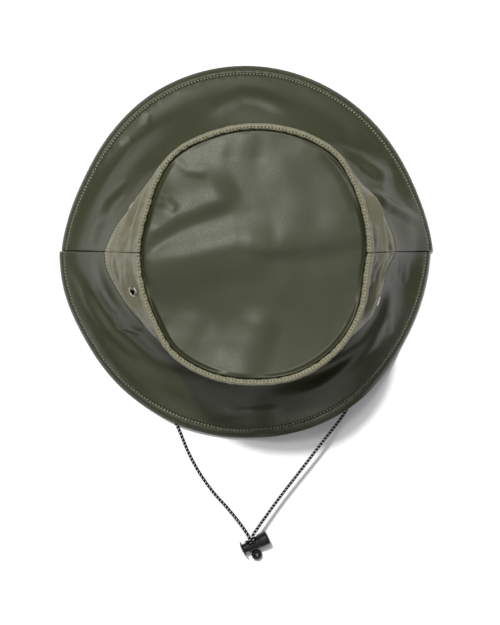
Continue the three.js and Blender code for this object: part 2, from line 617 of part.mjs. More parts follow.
// The cord lock's own frame has +Y along the barrel from its mouth, +X to the front and +Z up
function lockGroup() {
  const group = new THREE.Group();
  group.position.set(LOCK_X, LOCK_Y, LOCK_HEIGHT);
  group.rotation.z = radians(LOCK_TURN - 90);
  hat.add(group);
  return group;
}

function turned(outline) {
  const profile = outline.map(([radius, place]) => new THREE.Vector2(radius, place));
  return toSolid(new THREE.LatheGeometry(profile, ROUND_SEGMENTS));
}

// A slot with round ends through the lock, leaning towards the hat
function slotCutter(start, end, width) {
  const round = width / 2;
  const slot = new THREE.Shape();
  slot.moveTo(round, start + round);
  slot.lineTo(round, end - round);
  slot.absarc(0, end - round, round, 0, Math.PI, false);
  slot.lineTo(-round, start + round);
  slot.absarc(0, start + round, round, Math.PI, 2 * Math.PI, false);
  const depth = 6 * BARREL_RADIUS;
  const options = { depth, bevelEnabled: false, curveSegments: SLOT_SEGMENTS };
  const cutter = new THREE.ExtrudeGeometry(slot, options).translate(0, 0, -depth / 2);
  return toSolid(cutter.rotateY(-radians(SLOT_TILT)));
}

function makeBarrel(group) {
  const bore = PLUNGER_RADIUS + GAP;
  const floor = BARREL_LENGTH - BARREL_END_WALL;
  const neck = (BARREL_RADIUS + bore) / 2;
  const outline = [
    [bore, 0], [neck - BARREL_TAPER, 0], [neck, BARREL_LIP],
    [neck + BARREL_TAPER, SLOT_PLACE + SLOT_LENGTH / 2], [BARREL_RADIUS, floor],
    [BARREL_RADIUS, BARREL_LENGTH - LOCK_BEVEL], [BARREL_RADIUS - LOCK_BEVEL, BARREL_LENGTH],
    [0, BARREL_LENGTH], [0, floor], [bore, floor], [bore, 0],
  ];
  const start = SLOT_PLACE - SLOT_LENGTH / 2;
  const slot = slotCutter(start, start + SLOT_LENGTH, SLOT_WIDTH);
  addPiece('lock_barrel', turned(outline).subtract(slot), BLACK, group);
}

function makePlunger(group) {
  const neck = -PLUNGER_TRAVEL - PLUNGER_REST;
  const top = neck - CAP_THICKNESS;
  const cap = CAP_OUTLINE.map((row) => [CAP_RADIUS * row.reach, top + CAP_THICKNESS * row.depth]);
  const outline = [
    ...cap, [PLUNGER_RADIUS, neck], [PLUNGER_RADIUS, PLUNGER_LENGTH - LOCK_BEVEL],
    [PLUNGER_RADIUS - LOCK_BEVEL, PLUNGER_LENGTH], [0, PLUNGER_LENGTH],
  ];
  const slot = slotCutter(PLUNGER_SLOT_START, PLUNGER_SLOT_END, PLUNGER_SLOT_WIDTH);
  addPiece('lock_plunger', turned(outline).subtract(slot), BLACK, group);
}

function makeBead() {
  const middle = (BEAD_RADIUS + BEAD_BORE) / 2;
  const thick = (BEAD_RADIUS - BEAD_BORE) / 2;
  const profile = [];
  for (let i = 0; i <= BEAD_STEPS; i += 1) {
    const turn = (2 * Math.PI * (i % BEAD_STEPS)) / BEAD_STEPS;
    const radius = middle + thick * Math.cos(turn);
    profile.push(new THREE.Vector2(radius, (BEAD_HEIGHT / 2) * Math.sin(turn)));
  }
  const ring = new THREE.LatheGeometry(profile, ROUND_SEGMENTS).rotateX(Math.PI / 2);
  const piece = addPiece('cord_end', toSolid(ring), BLACK);
  piece.position.set(BEAD_X, BEAD_Y, BEAD_LIFT + BEAD_HEIGHT / 2);
}

makeTip();
makeBand('crown_band_back', BACK_HALF);
makeBand('crown_band_front', FRONT_HALF);
makeBrim('brim_back', BACK_HALF);
makeBrim('brim_front', FRONT_HALF);
for (const frame of eyeletFrames) makeEyelet(frame);
makeTab('cord_tab_left', 180);
makeTab('cord_tab_right', 0);
makeCord('cord_left', LEFT_RUN, RUN_STEPS);
makeCord('cord_tail_left', LEFT_TAIL, TAIL_STEPS);
makeCord('cord_right', RIGHT_RUN, RUN_STEPS);
makeCord('cord_tail_right', RIGHT_TAIL, TAIL_STEPS);
const lock = lockGroup();
makeBarrel(lock);
makePlunger(lock);
makeBead();

export default hat;
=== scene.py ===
"""A rain hat of coated cloth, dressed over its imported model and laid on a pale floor.

Metres, +Z up, the hat's front towards -Y and its left side seam towards -X. The hat's own tables
are in millimetres, degrees and shares, as in the part's source: angles are counted from +X
towards +Y, so the back half runs from 0 to 180 degrees and the front half from 180 to 360.
"""

import logging
import math
from collections.abc import Callable, Sequence
from dataclasses import dataclass, field
from enum import Enum

import bmesh
import bpy
import numpy as np
from mathutils import Matrix, Vector, noise

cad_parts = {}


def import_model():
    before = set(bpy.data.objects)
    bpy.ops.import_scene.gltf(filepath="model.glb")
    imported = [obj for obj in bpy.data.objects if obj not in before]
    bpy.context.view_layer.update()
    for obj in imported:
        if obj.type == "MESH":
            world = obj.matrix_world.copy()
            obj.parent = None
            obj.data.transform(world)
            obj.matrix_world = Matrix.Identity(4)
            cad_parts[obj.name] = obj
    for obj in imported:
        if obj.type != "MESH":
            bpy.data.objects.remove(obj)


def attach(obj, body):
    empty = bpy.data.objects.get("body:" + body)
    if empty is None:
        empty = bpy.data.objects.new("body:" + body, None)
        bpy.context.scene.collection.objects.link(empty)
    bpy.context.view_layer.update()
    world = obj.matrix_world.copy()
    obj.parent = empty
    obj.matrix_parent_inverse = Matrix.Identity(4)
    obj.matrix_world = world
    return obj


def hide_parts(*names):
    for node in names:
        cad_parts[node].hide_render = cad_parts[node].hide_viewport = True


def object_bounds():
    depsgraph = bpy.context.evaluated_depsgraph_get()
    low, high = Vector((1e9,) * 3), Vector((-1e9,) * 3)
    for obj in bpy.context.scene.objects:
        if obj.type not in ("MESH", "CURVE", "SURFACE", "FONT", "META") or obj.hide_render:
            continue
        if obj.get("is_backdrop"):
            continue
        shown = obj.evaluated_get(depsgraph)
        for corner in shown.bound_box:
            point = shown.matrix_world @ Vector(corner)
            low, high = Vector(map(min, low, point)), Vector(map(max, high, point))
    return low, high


log = logging.getLogger("rain_hat")
Array = np.ndarray
Surface = Callable[[Array, Array], Array]
Line = Callable[[Array], tuple[Array, Array]]
Tone = tuple[float, float, float, float]
MM = 0.001
LINE_STEPS = 2400


class Body(Enum):
    """The bodies that pieces ride on."""

    HAT = "hat"
    PLUNGER = "plunger"


class Side(Enum):
    """The sides of the chin cord."""

    LEFT = "left"
    RIGHT = "right"


def bell(x: Array) -> Array:
    """A bell from 1 at 0 to nothing at -1 and 1."""
    return np.where(np.abs(x) < 1, 0.5 + 0.5 * np.cos(np.pi * np.clip(x, -1, 1)), 0.0)


def ramp(x: Array) -> Array:
    """A smooth step from 0 at 0 to 1 at 1."""
    t = np.clip(x, 0, 1)
    return t * t * (3 - 2 * t)


def unit(vectors: Array) -> Array:
    """The vectors at length 1."""
    return vectors / np.maximum(np.linalg.norm(vectors, axis=-1, keepdims=True), 1e-9)


def outward(deg: Array) -> Array:
    """Level unit vectors at angles in degrees."""
    turn = np.radians(deg)
    return np.stack([np.cos(turn), np.sin(turn), np.zeros_like(turn)], axis=-1)


def rounding(distance: Array, radius: float) -> Array:
    """How far a rounded edge drops at a distance from it, both in millimetres."""
    inside = np.clip(radius - distance, 0, radius)
    return radius - np.sqrt(radius * radius - inside * inside)


def ripple(x: Array, y: Array, seed: float) -> Array:
    """Smooth unevenness from about -1 to 1 over a plane, always the same."""
    values = [noise.noise(Vector((a, b, seed))) for a, b in zip(x.ravel(), y.ravel())]
    return np.array(values).reshape(x.shape) * 1.6


def run_along(points: Array) -> Array:
    """How far along a line of points each of them is."""
    return np.concatenate([[0], np.cumsum(np.linalg.norm(np.diff(points, axis=0), axis=1))])


@dataclass(frozen=True)
class Outline:
    """A share that changes with the angle, on a smooth curve through rows of (degrees, share)."""

    rows: tuple[tuple[float, float], ...]

    def read(self, deg: Array) -> Array:
        """The share at each angle."""
        turn, share = np.array(self.rows).T
        last = len(turn) - 1
        low = np.maximum(np.arange(last + 1) - 1, 0)
        high = np.minimum(np.arange(last + 1) + 1, last)
        slope = (share[high] - share[low]) / (turn[high] - turn[low])
        i = np.clip(np.searchsorted(turn, deg, side="right") - 1, 0, last - 1)
        span = turn[i + 1] - turn[i]
        t = (deg - turn[i]) / span
        h = t * t * (3 - 2 * t)
        start = span * slope[i] * t * (1 - t) ** 2
        end = span * slope[i + 1] * t * t * (t - 1)
        return share[i] * (1 - h) + share[i + 1] * h + start + end


@dataclass(frozen=True)
class Fold:
    """A long fold that crosses deg at a share of the way and drifts over spread degrees."""

    deg: float
    spread: float
    at: float
    drift: float
    width: float
    out: float

    def height(self, deg: Array, at: Array) -> Array:
        """The fold's height at angles and shares, as a share of the fold depth."""
        turn = (deg - self.deg + 540) % 360 - 180
        across = at - self.at - self.drift * turn / self.spread
        return self.out * bell(turn / self.spread) * bell(across / self.width)


@dataclass(frozen=True)
class Crease:
    """A fold along points seen from above, in millimetres or in shares.

    Fields:
        points: The fold's line.
        width: How far the fold reaches to each side, or only to the left of its line.
        rise: Its height.
        right: How far it reaches to the right of its line, where that differs.
    """

    points: tuple[tuple[float, float], ...]
    width: float
    rise: float
    right: float = 0.0

    def height(self, x: Array, y: Array, taper: float = 0.0) -> Array:
        """The crease's height over the plane.

        Args:
            x: Places along +X.
            y: Places along +Y.
            taper: The share of the crease's length that fades in at each end.

        Returns:
            Heights in the unit of rise.
        """
        nearest = np.full(x.shape, np.inf)
        along = np.zeros(x.shape)
        left = np.zeros(x.shape)
        total = sum(math.dist(a, b) for a, b in zip(self.points, self.points[1:]))
        past = 0.0
        for (x1, y1), (x2, y2) in zip(self.points, self.points[1:]):
            dx, dy = x2 - x1, y2 - y1
            length = math.hypot(dx, dy)
            t = np.clip(((x - x1) * dx + (y - y1) * dy) / (length * length), 0, 1)
            gap = np.hypot(x - x1 - t * dx, y - y1 - t * dy)
            closer = gap < nearest
            nearest = np.where(closer, gap, nearest)
            along = np.where(closer, (past + t * length) / total, along)
            left = np.where(closer, (dx * (y - y1) - dy * (x - x1)) / length, left)
            past += length
        right = self.right or self.width
        side = np.clip(left / np.maximum(nearest, 1e-6), -1, 1)
        width = 0.5 * (self.width + right) + 0.5 * (self.width - right) * side
        height = self.rise * bell(nearest / width)
        if taper > 0:
            height = height * ramp(along / taper) * ramp((1 - along) / taper)
        return height


HEM_BACK = Outline(
    ((0, 1.004), (18, 0.972), (32, 0.968), (60, 0.984), (90, 0.997), (120, 0.989),
     (140, 0.968), (155, 0.959), (168, 0.974), (180, 0.997))
)  # fmt: skip
HEM_FRONT = Outline(
    ((180, 1.008), (192, 1.006), (208, 0.992), (228, 0.999), (238, 1.0), (249, 1.002),
     (261, 1.004), (271, 1.003), (280, 1.002), (294, 1.001), (308, 0.998), (319, 0.989),
     (328, 0.98), (342, 0.979), (360, 0.989))
)  # fmt: skip
LIFT_BACK = Outline(((0, 0), (90, 0), (180, 0)))
LIFT_FRONT = Outline(
    ((180, 0), (192, 0), (208, 0), (228, 0), (238, 0.04), (249, 0.17), (261, 0.12),
     (271, 0.24), (280, 0.66), (294, 1), (308, 0.82), (319, 0.32), (328, 0.02), (342, 0),
     (360, 0))
)  # fmt: skip
BASE_BACK = Outline(
    ((0, 1), (7, 0.985), (16, 0.95), (27, 0.895), (45, 0.832), (65, 0.782), (90, 0.761),
     (115, 0.782), (135, 0.825), (146, 0.85), (158, 0.868), (171, 0.945), (180, 1))
)  # fmt: skip
BASE_FRONT = Outline(
    ((180, 1), (186, 0.993), (197, 0.945), (210, 0.9), (225, 0.855), (245, 0.79),
     (270, 0.761), (295, 0.79), (315, 0.862), (330, 0.9), (341, 0.915), (352, 0.945),
     (360, 1))
)  # fmt: skip
TIP = Outline(
    ((0, 0.908), (20, 0.928), (35, 0.964), (50, 1.009), (70, 1.0), (90, 0.988), (110, 0.983),
     (130, 0.991), (145, 0.944), (160, 0.901), (180, 0.908), (200, 0.92), (215, 0.948),
     (230, 1.005), (250, 1.016), (270, 1.012), (290, 1.022), (310, 1.001), (330, 0.957),
     (348, 0.902), (360, 0.908))
)  # fmt: skip

BAND_FOLDS = (
    Fold(162, 34, 0.24, 0.05, 0.17, -0.55), Fold(166, 34, 0.45, 0.04, 0.16, 0.6),
    Fold(164, 30, 0.66, -0.02, 0.15, -0.5), Fold(160, 36, 0.86, -0.02, 0.14, 0.45),
    Fold(202, 32, 0.24, -0.06, 0.18, -0.5), Fold(202, 36, 0.5, -0.22, 0.17, 0.45),
    Fold(200, 32, 0.76, -0.08, 0.19, -0.6), Fold(18, 34, 0.28, 0.05, 0.18, -0.6),
    Fold(16, 36, 0.58, 0.04, 0.2, 0.75), Fold(20, 32, 0.84, 0, 0.14, -0.4),
    Fold(338, 36, 0.37, 0.05, 0.22, 0.8), Fold(342, 34, 0.7, 0.04, 0.2, -0.7),
    Fold(90, 60, 0.5, 0, 0.5, 0.5), Fold(270, 60, 0.5, 0, 0.5, 0.5),
)  # fmt: skip
BRIM_FOLDS = (
    Fold(135, 40, 0.34, 0.1, 0.3, 0.45), Fold(140, 36, 0.72, 0.05, 0.26, -0.35),
    Fold(90, 42, 0.5, 0, 0.4, 0.5), Fold(28, 14, 0.4, 0.3, 0.34, 0.7),
    Fold(44, 14, 0.36, 0.2, 0.32, -0.5), Fold(8, 12, 0.5, 0, 0.45, 0.45),
    Fold(350, 12, 0.5, 0, 0.45, -0.5), Fold(214, 34, 0.72, 0, 0.24, 0.6),
    Fold(222, 32, 0.4, 0, 0.24, -0.5), Fold(196, 18, 0.24, 0.1, 0.24, 0.4),
    Fold(262, 34, 0.66, 0.24, 0.26, 0.6), Fold(290, 36, 0.28, 0, 0.26, -0.7),
    Fold(306, 30, 0.6, 0.1, 0.3, 0.6), Fold(332, 20, 0.45, 0, 0.36, 0.35),
)  # fmt: skip

# Fine creases of the brim, which only the dressed hat has, in millimetres, seen from above
BRIM_CREASES = (
    Crease(((-30, 97), (-16, 108), (-3, 114), (9, 112.6), (35, 102)), 8, 1.1),
    Crease(((-73, 102), (-74, 89)), 5, -0.6), Crease(((-93, 75), (-82, 81)), 6, -0.7),
    Crease(((-109, 24), (-102, 37), (-92, 45), (-84, 52)), 4.5, 0.9),
    Crease(((-102, 22), (-97, 33), (-88, 42)), 4, -0.7),
    Crease(((-112, 1), (-109, 15), (-103, 24)), 5, 0.8),
    Crease(((64, 76), (83, 67), (95, 58), (111, 51)), 7, 1.3),
    Crease(((80, 59), (100, 50)), 8, -1.0),
    Crease(((85, 43), (100, 35.5), (112, 28), (129, 19)), 6, 1.6),
    Crease(((92, 34), (108, 24)), 6, -0.9),
    Crease(((-129, -6), (-125, -17), (-120, -25), (-115, -38), (-104, -55), (-88, -70),
            (-70, -85)), 6, 1.3),
    Crease(((-98, -55), (-86, -57), (-73, -60)), 3.5, 1.0),
    Crease(((-113, -27), (-104, -42), (-91, -52)), 9, -0.9),
    Crease(((-24, -120), (3, -118.5), (29, -115)), 6, 1.1),
    Crease(((99, -22), (95, -49), (84, -66), (68, -80), (37, -101)), 6, -0.9),
    Crease(((107, -12), (105.7, -27), (102, -47), (91.6, -68), (75.5, -83), (56.6, -97),
            (35, -108)), 6, 1.1),
    Crease(((109, -7), (110, -28)), 3.5, 0.6), Crease(((117, -7), (116, -25)), 3.5, 0.5),
    Crease(((105.4, -44), (104, -62)), 4, 0.7),
)  # fmt: skip
# Folds and dents of the dressed top panel, in millimetres from its middle
TIP_CREASES = (
    Crease(((-92, -2), (-71.5, 14), (-54, 26), (-30, 35), (-8, 43)), 34, 3.2, 12),
    Crease(((-100, -8), (-71.5, 14), (-54, 27), (-30, 38), (6, 50)), 50, 1.4, 40),
    Crease(((-90, -16), (-64, -9), (-47, -4.5), (-30, 1), (-12, 7), (18, 10)), 22, 3.4, 30),
    Crease(((-110, 8), (-20, 10), (40, 10), (110, 12)), 54, 1.7),
    Crease(((-60, -6), (-30, 1), (-12, 6), (12, 4), (34, 6)), 14, 0.5, 9),
    Crease(((-10, 3), (34, 6), (50, 8), (64, 12), (96, 22)), 40, 1.9, 13),
    Crease(((30, 10), (34, -4), (40, -22), (50, -44)), 12, -0.4, 16),
    Crease(((-88, -54), (-40, -56), (-6, -56), (34, -60), (88, -60)), 54, -3.8, 46),
    Crease(((-90, -32), (-56, -36), (-16, -38)), 34, -1.6, 30),
    Crease(((-18, -112), (-4, -76), (8, -36)), 22, 2.2, 18),
    Crease(((-72, -96), (-52, -64), (-38, -36)), 18, 1.0, 14),
    Crease(((50, 76), (67, 56), (79, 26)), 5, -2.0, 12),
    Crease(((-72, 36), (-60, 35), (-52, 28)), 6, -0.8),
    Crease(((-60, 72), (-46, 57), (-30, 54)), 5, -0.5),
    Crease(((-10, 90), (-17, 62)), 8, -0.3), Crease(((6, 92), (3, 60)), 8, -0.3),
)  # fmt: skip
# Fine pleats of the dressed side band
BAND_CREASES = (
    Fold(172, 9, 0.8, -0.02, 0.045, 0.2), Fold(173, 8, 0.7, -0.02, 0.04, 0.18),
    Fold(171, 9, 0.6, -0.03, 0.04, 0.16), Fold(170, 9, 0.9, 0.0, 0.04, 0.14),
    Fold(188, 9, 0.2, -0.05, 0.05, 0.2), Fold(190, 10, 0.36, -0.06, 0.05, -0.18),
    Fold(189, 9, 0.68, -0.05, 0.05, 0.22), Fold(187, 8, 0.82, 0.02, 0.04, -0.16),
    Fold(6, 9, 0.3, 0.03, 0.04, 0.24), Fold(7, 9, 0.42, 0.03, 0.035, -0.2),
    Fold(8, 10, 0.52, 0.03, 0.035, 0.24), Fold(7, 9, 0.64, 0.02, 0.035, -0.18),
    Fold(6, 9, 0.74, 0.0, 0.04, 0.2), Fold(352, 9, 0.44, 0.03, 0.04, 0.22),
    Fold(351, 9, 0.56, 0.03, 0.04, -0.2), Fold(353, 8, 0.72, 0.0, 0.04, 0.18),
)  # fmt: skip


@dataclass(frozen=True)
class Half:
    """The back or the front half of the hat, between its side seams."""

    name: str
    start: float
    end: float
    side: int
    hem: Outline
    lift: Outline
    base: Outline


BACK = Half("back", 0, 180, 1, HEM_BACK, LIFT_BACK, BASE_BACK)
FRONT = Half("front", 180, 360, -1, HEM_FRONT, LIFT_FRONT, BASE_FRONT)


@dataclass(frozen=True)
class EyeletSeat:
    """Where an eyelet sits on the side band."""

    name: str
    half: Half
    deg: float
    up: float


EYELET_SEATS = (
    EyeletSeat("eyelet_left_back", BACK, 159, 0.42),
    EyeletSeat("eyelet_left_front", FRONT, 198, 0.65),
    EyeletSeat("eyelet_right_front", FRONT, 339, 0.37),
    EyeletSeat("eyelet_right_back", BACK, 20.5, 0.5),
)


@dataclass
class HatShape:
    """The surfaces of the hat's cloth, in millimetres, with the part's own driving sizes."""

    gap: float = 0.3
    wall: float = 1.5
    brim_radius: float = 137.5
    brim_lift: float = 25
    brim_sag: float = 2.4
    wave_depth: float = 5
    hem_press: float = 0.45
    base_half_width: float = 104.5
    base_side_height: float = 48
    base_front_height: float = 24
    base_shift: tuple[float, float] = (2.6, -1.9)
    tip_half_length: float = 86.3
    tip_height: float = 98
    tip_side_drop: float = 3
    tip_shift: tuple[float, float] = (5.0, -4.3)
    tip_puff: float = 2.5
    fold_depth: float = 6
    roll_radius: float = 2.1
    eyelet_flat: float = 9
    eyelet_fade: float = 9
    presses: list[tuple[Array, Array]] = field(default_factory=list)

    def __post_init__(self) -> None:
        """Finds the planes that the eyelets hold the band flat to."""
        for seat in EYELET_SEATS:
            point, normal = self.bare_seat(seat)
            self.presses.append((point, normal))

    def hem_point(self, deg: Array, half: Half) -> Array:
        """The hem's outline."""
        point = outward(deg) * (self.brim_radius * half.hem.read(deg))[..., None]
        point[..., 2] = self.brim_lift * half.lift.read(deg)
        return point

    def base_point(self, deg: Array, half: Half) -> Array:
        """The seam of crown and brim."""
        point = outward(deg) * (self.base_half_width * half.base.read(deg))[..., None]
        climb = self.base_side_height - self.base_front_height
        point[..., 2] = self.base_front_height + climb * np.cos(np.radians(deg)) ** 2
        return point + np.array([*self.base_shift, 0.0])

    def tip_radius(self, deg: Array) -> Array:
        """The top panel's outline."""
        return self.tip_half_length * TIP.read(deg % 360)

    def tip_edge_height(self, deg: Array) -> Array:
        """The height of the top panel's edge."""
        return self.tip_height - self.tip_side_drop * np.cos(np.radians(deg)) ** 2

    def tip_point(self, deg: Array, reach: Array) -> Array:
        """A point at a distance from the top panel's middle, at its edge's height."""
        point = outward(deg) * reach[..., None] + np.array([*self.tip_shift, 0.0])
        point[..., 2] = self.tip_edge_height(deg)
        return point

    def band_length(self, deg: Array, half: Half) -> Array:
        """The way up the side band, from the brim to its rolled top edge."""
        shoulder = self.tip_point(deg, self.tip_radius(deg) + 2 * self.roll_radius)
        return np.linalg.norm(shoulder - self.base_point(deg, half), axis=-1)

    def band_bare(self, deg: Array, up: Array, roll: Array, lip: Array, half: Half) -> Array:
        """The outside of the side band before the eyelets press it flat.

        Args:
            deg: Angles round the hat.
            up: Shares of the way up the wall.
            roll: Degrees round the rolled top edge, 0 on the wall.
            lip: Shares of the lip that stands against the top panel.
            half: The half of the hat.

        Returns:
            Points in millimetres.
        """
        base = self.base_point(deg, half)
        reach = self.tip_radius(deg)
        wall = self.tip_point(deg, reach + 2 * self.roll_radius) - base
        length = np.linalg.norm(wall, axis=-1)
        share = (self.gap / 2 + (length - self.gap / 2) * up) / length
        fade = ramp(up / 0.14) * ramp((1 - up) / 0.12)
        fold = self.fold_depth * sum(f.height(deg, up) for f in BAND_FOLDS) * fade
        side = base + wall * share[..., None] + outward(deg) * fold[..., None]
        turn = np.radians(roll)
        rolled = self.tip_point(deg, reach + self.roll_radius * (1 + np.cos(turn)))
        rolled[..., 2] += self.roll_radius * np.sin(turn) - self.wall * lip
        return np.where((roll > 0)[..., None], rolled, side)

    def bare_seat(self, seat: EyeletSeat) -> tuple[Array, Array]:
        """The place and the facing of an eyelet."""

        def surface(deg: float, up: float) -> Array:
            """A point of the bare band."""
            one = np.array([deg])
            zero = np.zeros(1)
            return self.band_bare(one, np.array([up]), zero, zero, seat.half)[0]

        across = surface(seat.deg + 0.25, seat.up) - surface(seat.deg - 0.25, seat.up)
        climb = surface(seat.deg, seat.up + 0.01) - surface(seat.deg, seat.up - 0.01)
        return surface(seat.deg, seat.up), unit(np.cross(across, climb))

    def band_point(self, deg: Array, up: Array, roll: Array, lip: Array, half: Half) -> Array:
        """The outside of the side band, flat near the eyelets."""
        point = self.band_bare(deg, up, roll, lip, half)
        for seat, normal in self.presses:
            offset = point - seat
            far = np.linalg.norm(offset, axis=-1)
            hold = 1 - ramp((far - self.eyelet_flat) / self.eyelet_fade)
            point = point - normal * ((offset @ normal) * hold)[..., None]
        return point

    def brim_length(self, deg: Array, half: Half) -> Array:
        """The way across the brim, from the hem to the crown."""
        return np.linalg.norm(self.hem_point(deg, half) - self.base_point(deg, half), axis=-1)

    def brim_point(self, deg: Array, share: Array, half: Half) -> Array:
        """The top of the brim at a share of the way from the hem to the crown."""
        base = self.base_point(deg, half)
        run = self.hem_point(deg, half) - base
        length = np.linalg.norm(run, axis=-1)
        out = 1 - share
        level = np.hypot(run[..., 0], run[..., 1])
        normal = outward(deg) * (-run[..., 2] / length)[..., None]
        normal[..., 2] += level / length
        fade = ramp(out / 0.2) * ramp((1 - out) / 0.16)
        wave = self.wave_depth * sum(f.height(deg, out) for f in BRIM_FOLDS) * fade
        sag = self.brim_sag * np.sin(np.pi * out)
        point = base + run * ((self.gap / 2 + (length - self.gap / 2) * out) / length)[..., None]
        point = point + normal * (wave - sag)[..., None]
        point[..., 2] += self.wall * 0.5 * out - self.hem_press * out * out
        return point

    def panel_point(self, deg: Array, share: Array) -> Array:
        """The top panel at a share of the way from its middle to its edge."""
        reach = share * (self.tip_radius(deg) - self.gap)
        point = self.tip_point(deg, reach)
        drop = self.tip_height - self.tip_edge_height(deg)
        point[..., 2] = self.tip_height - drop * share**2 + self.tip_puff * (1 - share**2)
        return point


def srgb(red: int, green: int, blue: int) -> Tone:
    """A screen colour as linear light."""

    def linear(value: int) -> float:
        """One channel as linear light."""
        share = value / 255
        return share / 12.92 if share <= 0.04045 else ((share + 0.055) / 1.055) ** 2.4

    return (linear(red), linear(green), linear(blue), 1.0)


def shaded(tone: Tone, share: float) -> Tone:
    """A tone made darker or lighter."""
    return tuple(share * c for c in tone[:3]) + (1.0,)


class Wire:
    """An output of a shader node. Python's operators on it add Math nodes."""

    def __init__(self, board: "Board", socket: bpy.types.NodeSocket) -> None:
        """Wraps a socket of the board's nodes."""
        self.board = board
        self.socket = socket

    def _math(self, operation: str, *values: "Wire | float", clamp: bool = False) -> "Wire":
        """A Math node on these values."""
        settings = {"operation": operation, "use_clamp": clamp}
        return self.board.node("ShaderNodeMath", settings, dict(enumerate(values)))

    def __add__(self, other: "Wire | float") -> "Wire":
        """The sum."""
        return self._math("ADD", self, other)

    __radd__ = __add__

    def __sub__(self, other: "Wire | float") -> "Wire":
        """The difference."""
        return self._math("SUBTRACT", self, other)

    def __rsub__(self, other: "Wire | float") -> "Wire":
        """The difference from a number."""
        return self._math("SUBTRACT", other, self)

    def __mul__(self, other: "Wire | float") -> "Wire":
        """The product."""
        return self._math("MULTIPLY", self, other)

    __rmul__ = __mul__

    def __truediv__(self, other: "Wire | float") -> "Wire":
        """The quotient."""
        return self._math("DIVIDE", self, other)

    def __abs__(self) -> "Wire":
        """The size without its sign."""
        return self._math("ABSOLUTE", self)

    def fraction(self) -> "Wire":
        """What is past the last whole number."""
        return self._math("FRACT", self)

    def clamped(self) -> "Wire":
        """The value held between 0 and 1."""
        return self._math("ADD", self, 0.0, clamp=True)

    def step(self, low: float, high: float) -> "Wire":
        """A smooth step from 0 at low to 1 at high, which may be the smaller."""
        settings = {"interpolation_type": "SMOOTHSTEP"}
        if low < high:
            return self.board.node("ShaderNodeMapRange", settings, {0: self, 1: low, 2: high})
        return 1 - self.board.node("ShaderNodeMapRange", settings, {0: self, 1: high, 2: low})


class Board:
    """The nodes of one material or of the world."""

    def __init__(self, tree: bpy.types.NodeTree) -> None:
        """Clears the tree."""
        self.tree = tree
        tree.nodes.clear()

    def node(
        self, kind: str, settings: dict[str, object], inputs: dict, output: str | int = 0
    ) -> Wire:
        """Adds a node.

        Args:
            kind: The node's type.
            settings: Its own settings, which are set first.
            inputs: Values or wires of its sockets, by name or number.
            output: The socket that is returned.

        Returns:
            The wire of that output.
        """
        made = self.tree.nodes.new(kind)
        for name, value in settings.items():
            setattr(made, name, value)
        for name, value in inputs.items():
            if isinstance(value, Wire):
                self.tree.links.new(value.socket, made.inputs[name])
            else:
                made.inputs[name].default_value = value
        return Wire(self, made.outputs[output] if made.outputs else made.inputs[0])

    def mix(self, share: Wire | float, first: object, second: object) -> Wire:
        """A colour between two colours."""
        inputs = {0: share, 6: first, 7: second}
        return self.node("ShaderNodeMix", {"data_type": "RGBA"}, inputs, 2)

    def place(self) -> Wire:
        """The place on the object, in metres."""
        return self.node("ShaderNodeTexCoord", {}, {}, "Object")

    def noise(self, place: Wire, size: float, detail: float = 2.0) -> Wire:
        """Noise of grains of a size in metres, about 0.5."""
        inputs = {"Vector": place, "Scale": 1 / size, "Detail": detail}
        return self.node("ShaderNodeTexNoise", {}, inputs, "Fac")

    def own_map(self, name: str) -> tuple[Wire, Wire]:
        """The two numbers of the piece's own map."""
        uv = self.node("ShaderNodeUVMap", {"uv_map": name}, {})
        return (
            self.node("ShaderNodeSeparateXYZ", {}, {0: uv}, "X"),
            self.node("ShaderNodeSeparateXYZ", {}, {0: uv}, "Y"),
        )

    def bump(self, height: Wire, depth: float, strength: float = 1.0) -> Wire:
        """A normal from a height of 0 to 1 that stands for a depth in metres."""
        inputs = {"Height": height, "Distance": depth, "Strength": strength}
        return self.node("ShaderNodeBump", {}, inputs, "Normal")

    def surface(self, inputs: dict[str, object]) -> None:
        """The shader of the surface and the material's output."""
        shader = self.node("ShaderNodeBsdfPrincipled", {}, inputs, "BSDF")
        self.node("ShaderNodeOutputMaterial", {}, {"Surface": shader})


def new_board(name: str) -> tuple[bpy.types.Material, Board]:
    """A material and its board."""
    material = bpy.data.materials.new(name)
    material.use_nodes = True
    return material, Board(material.node_tree)


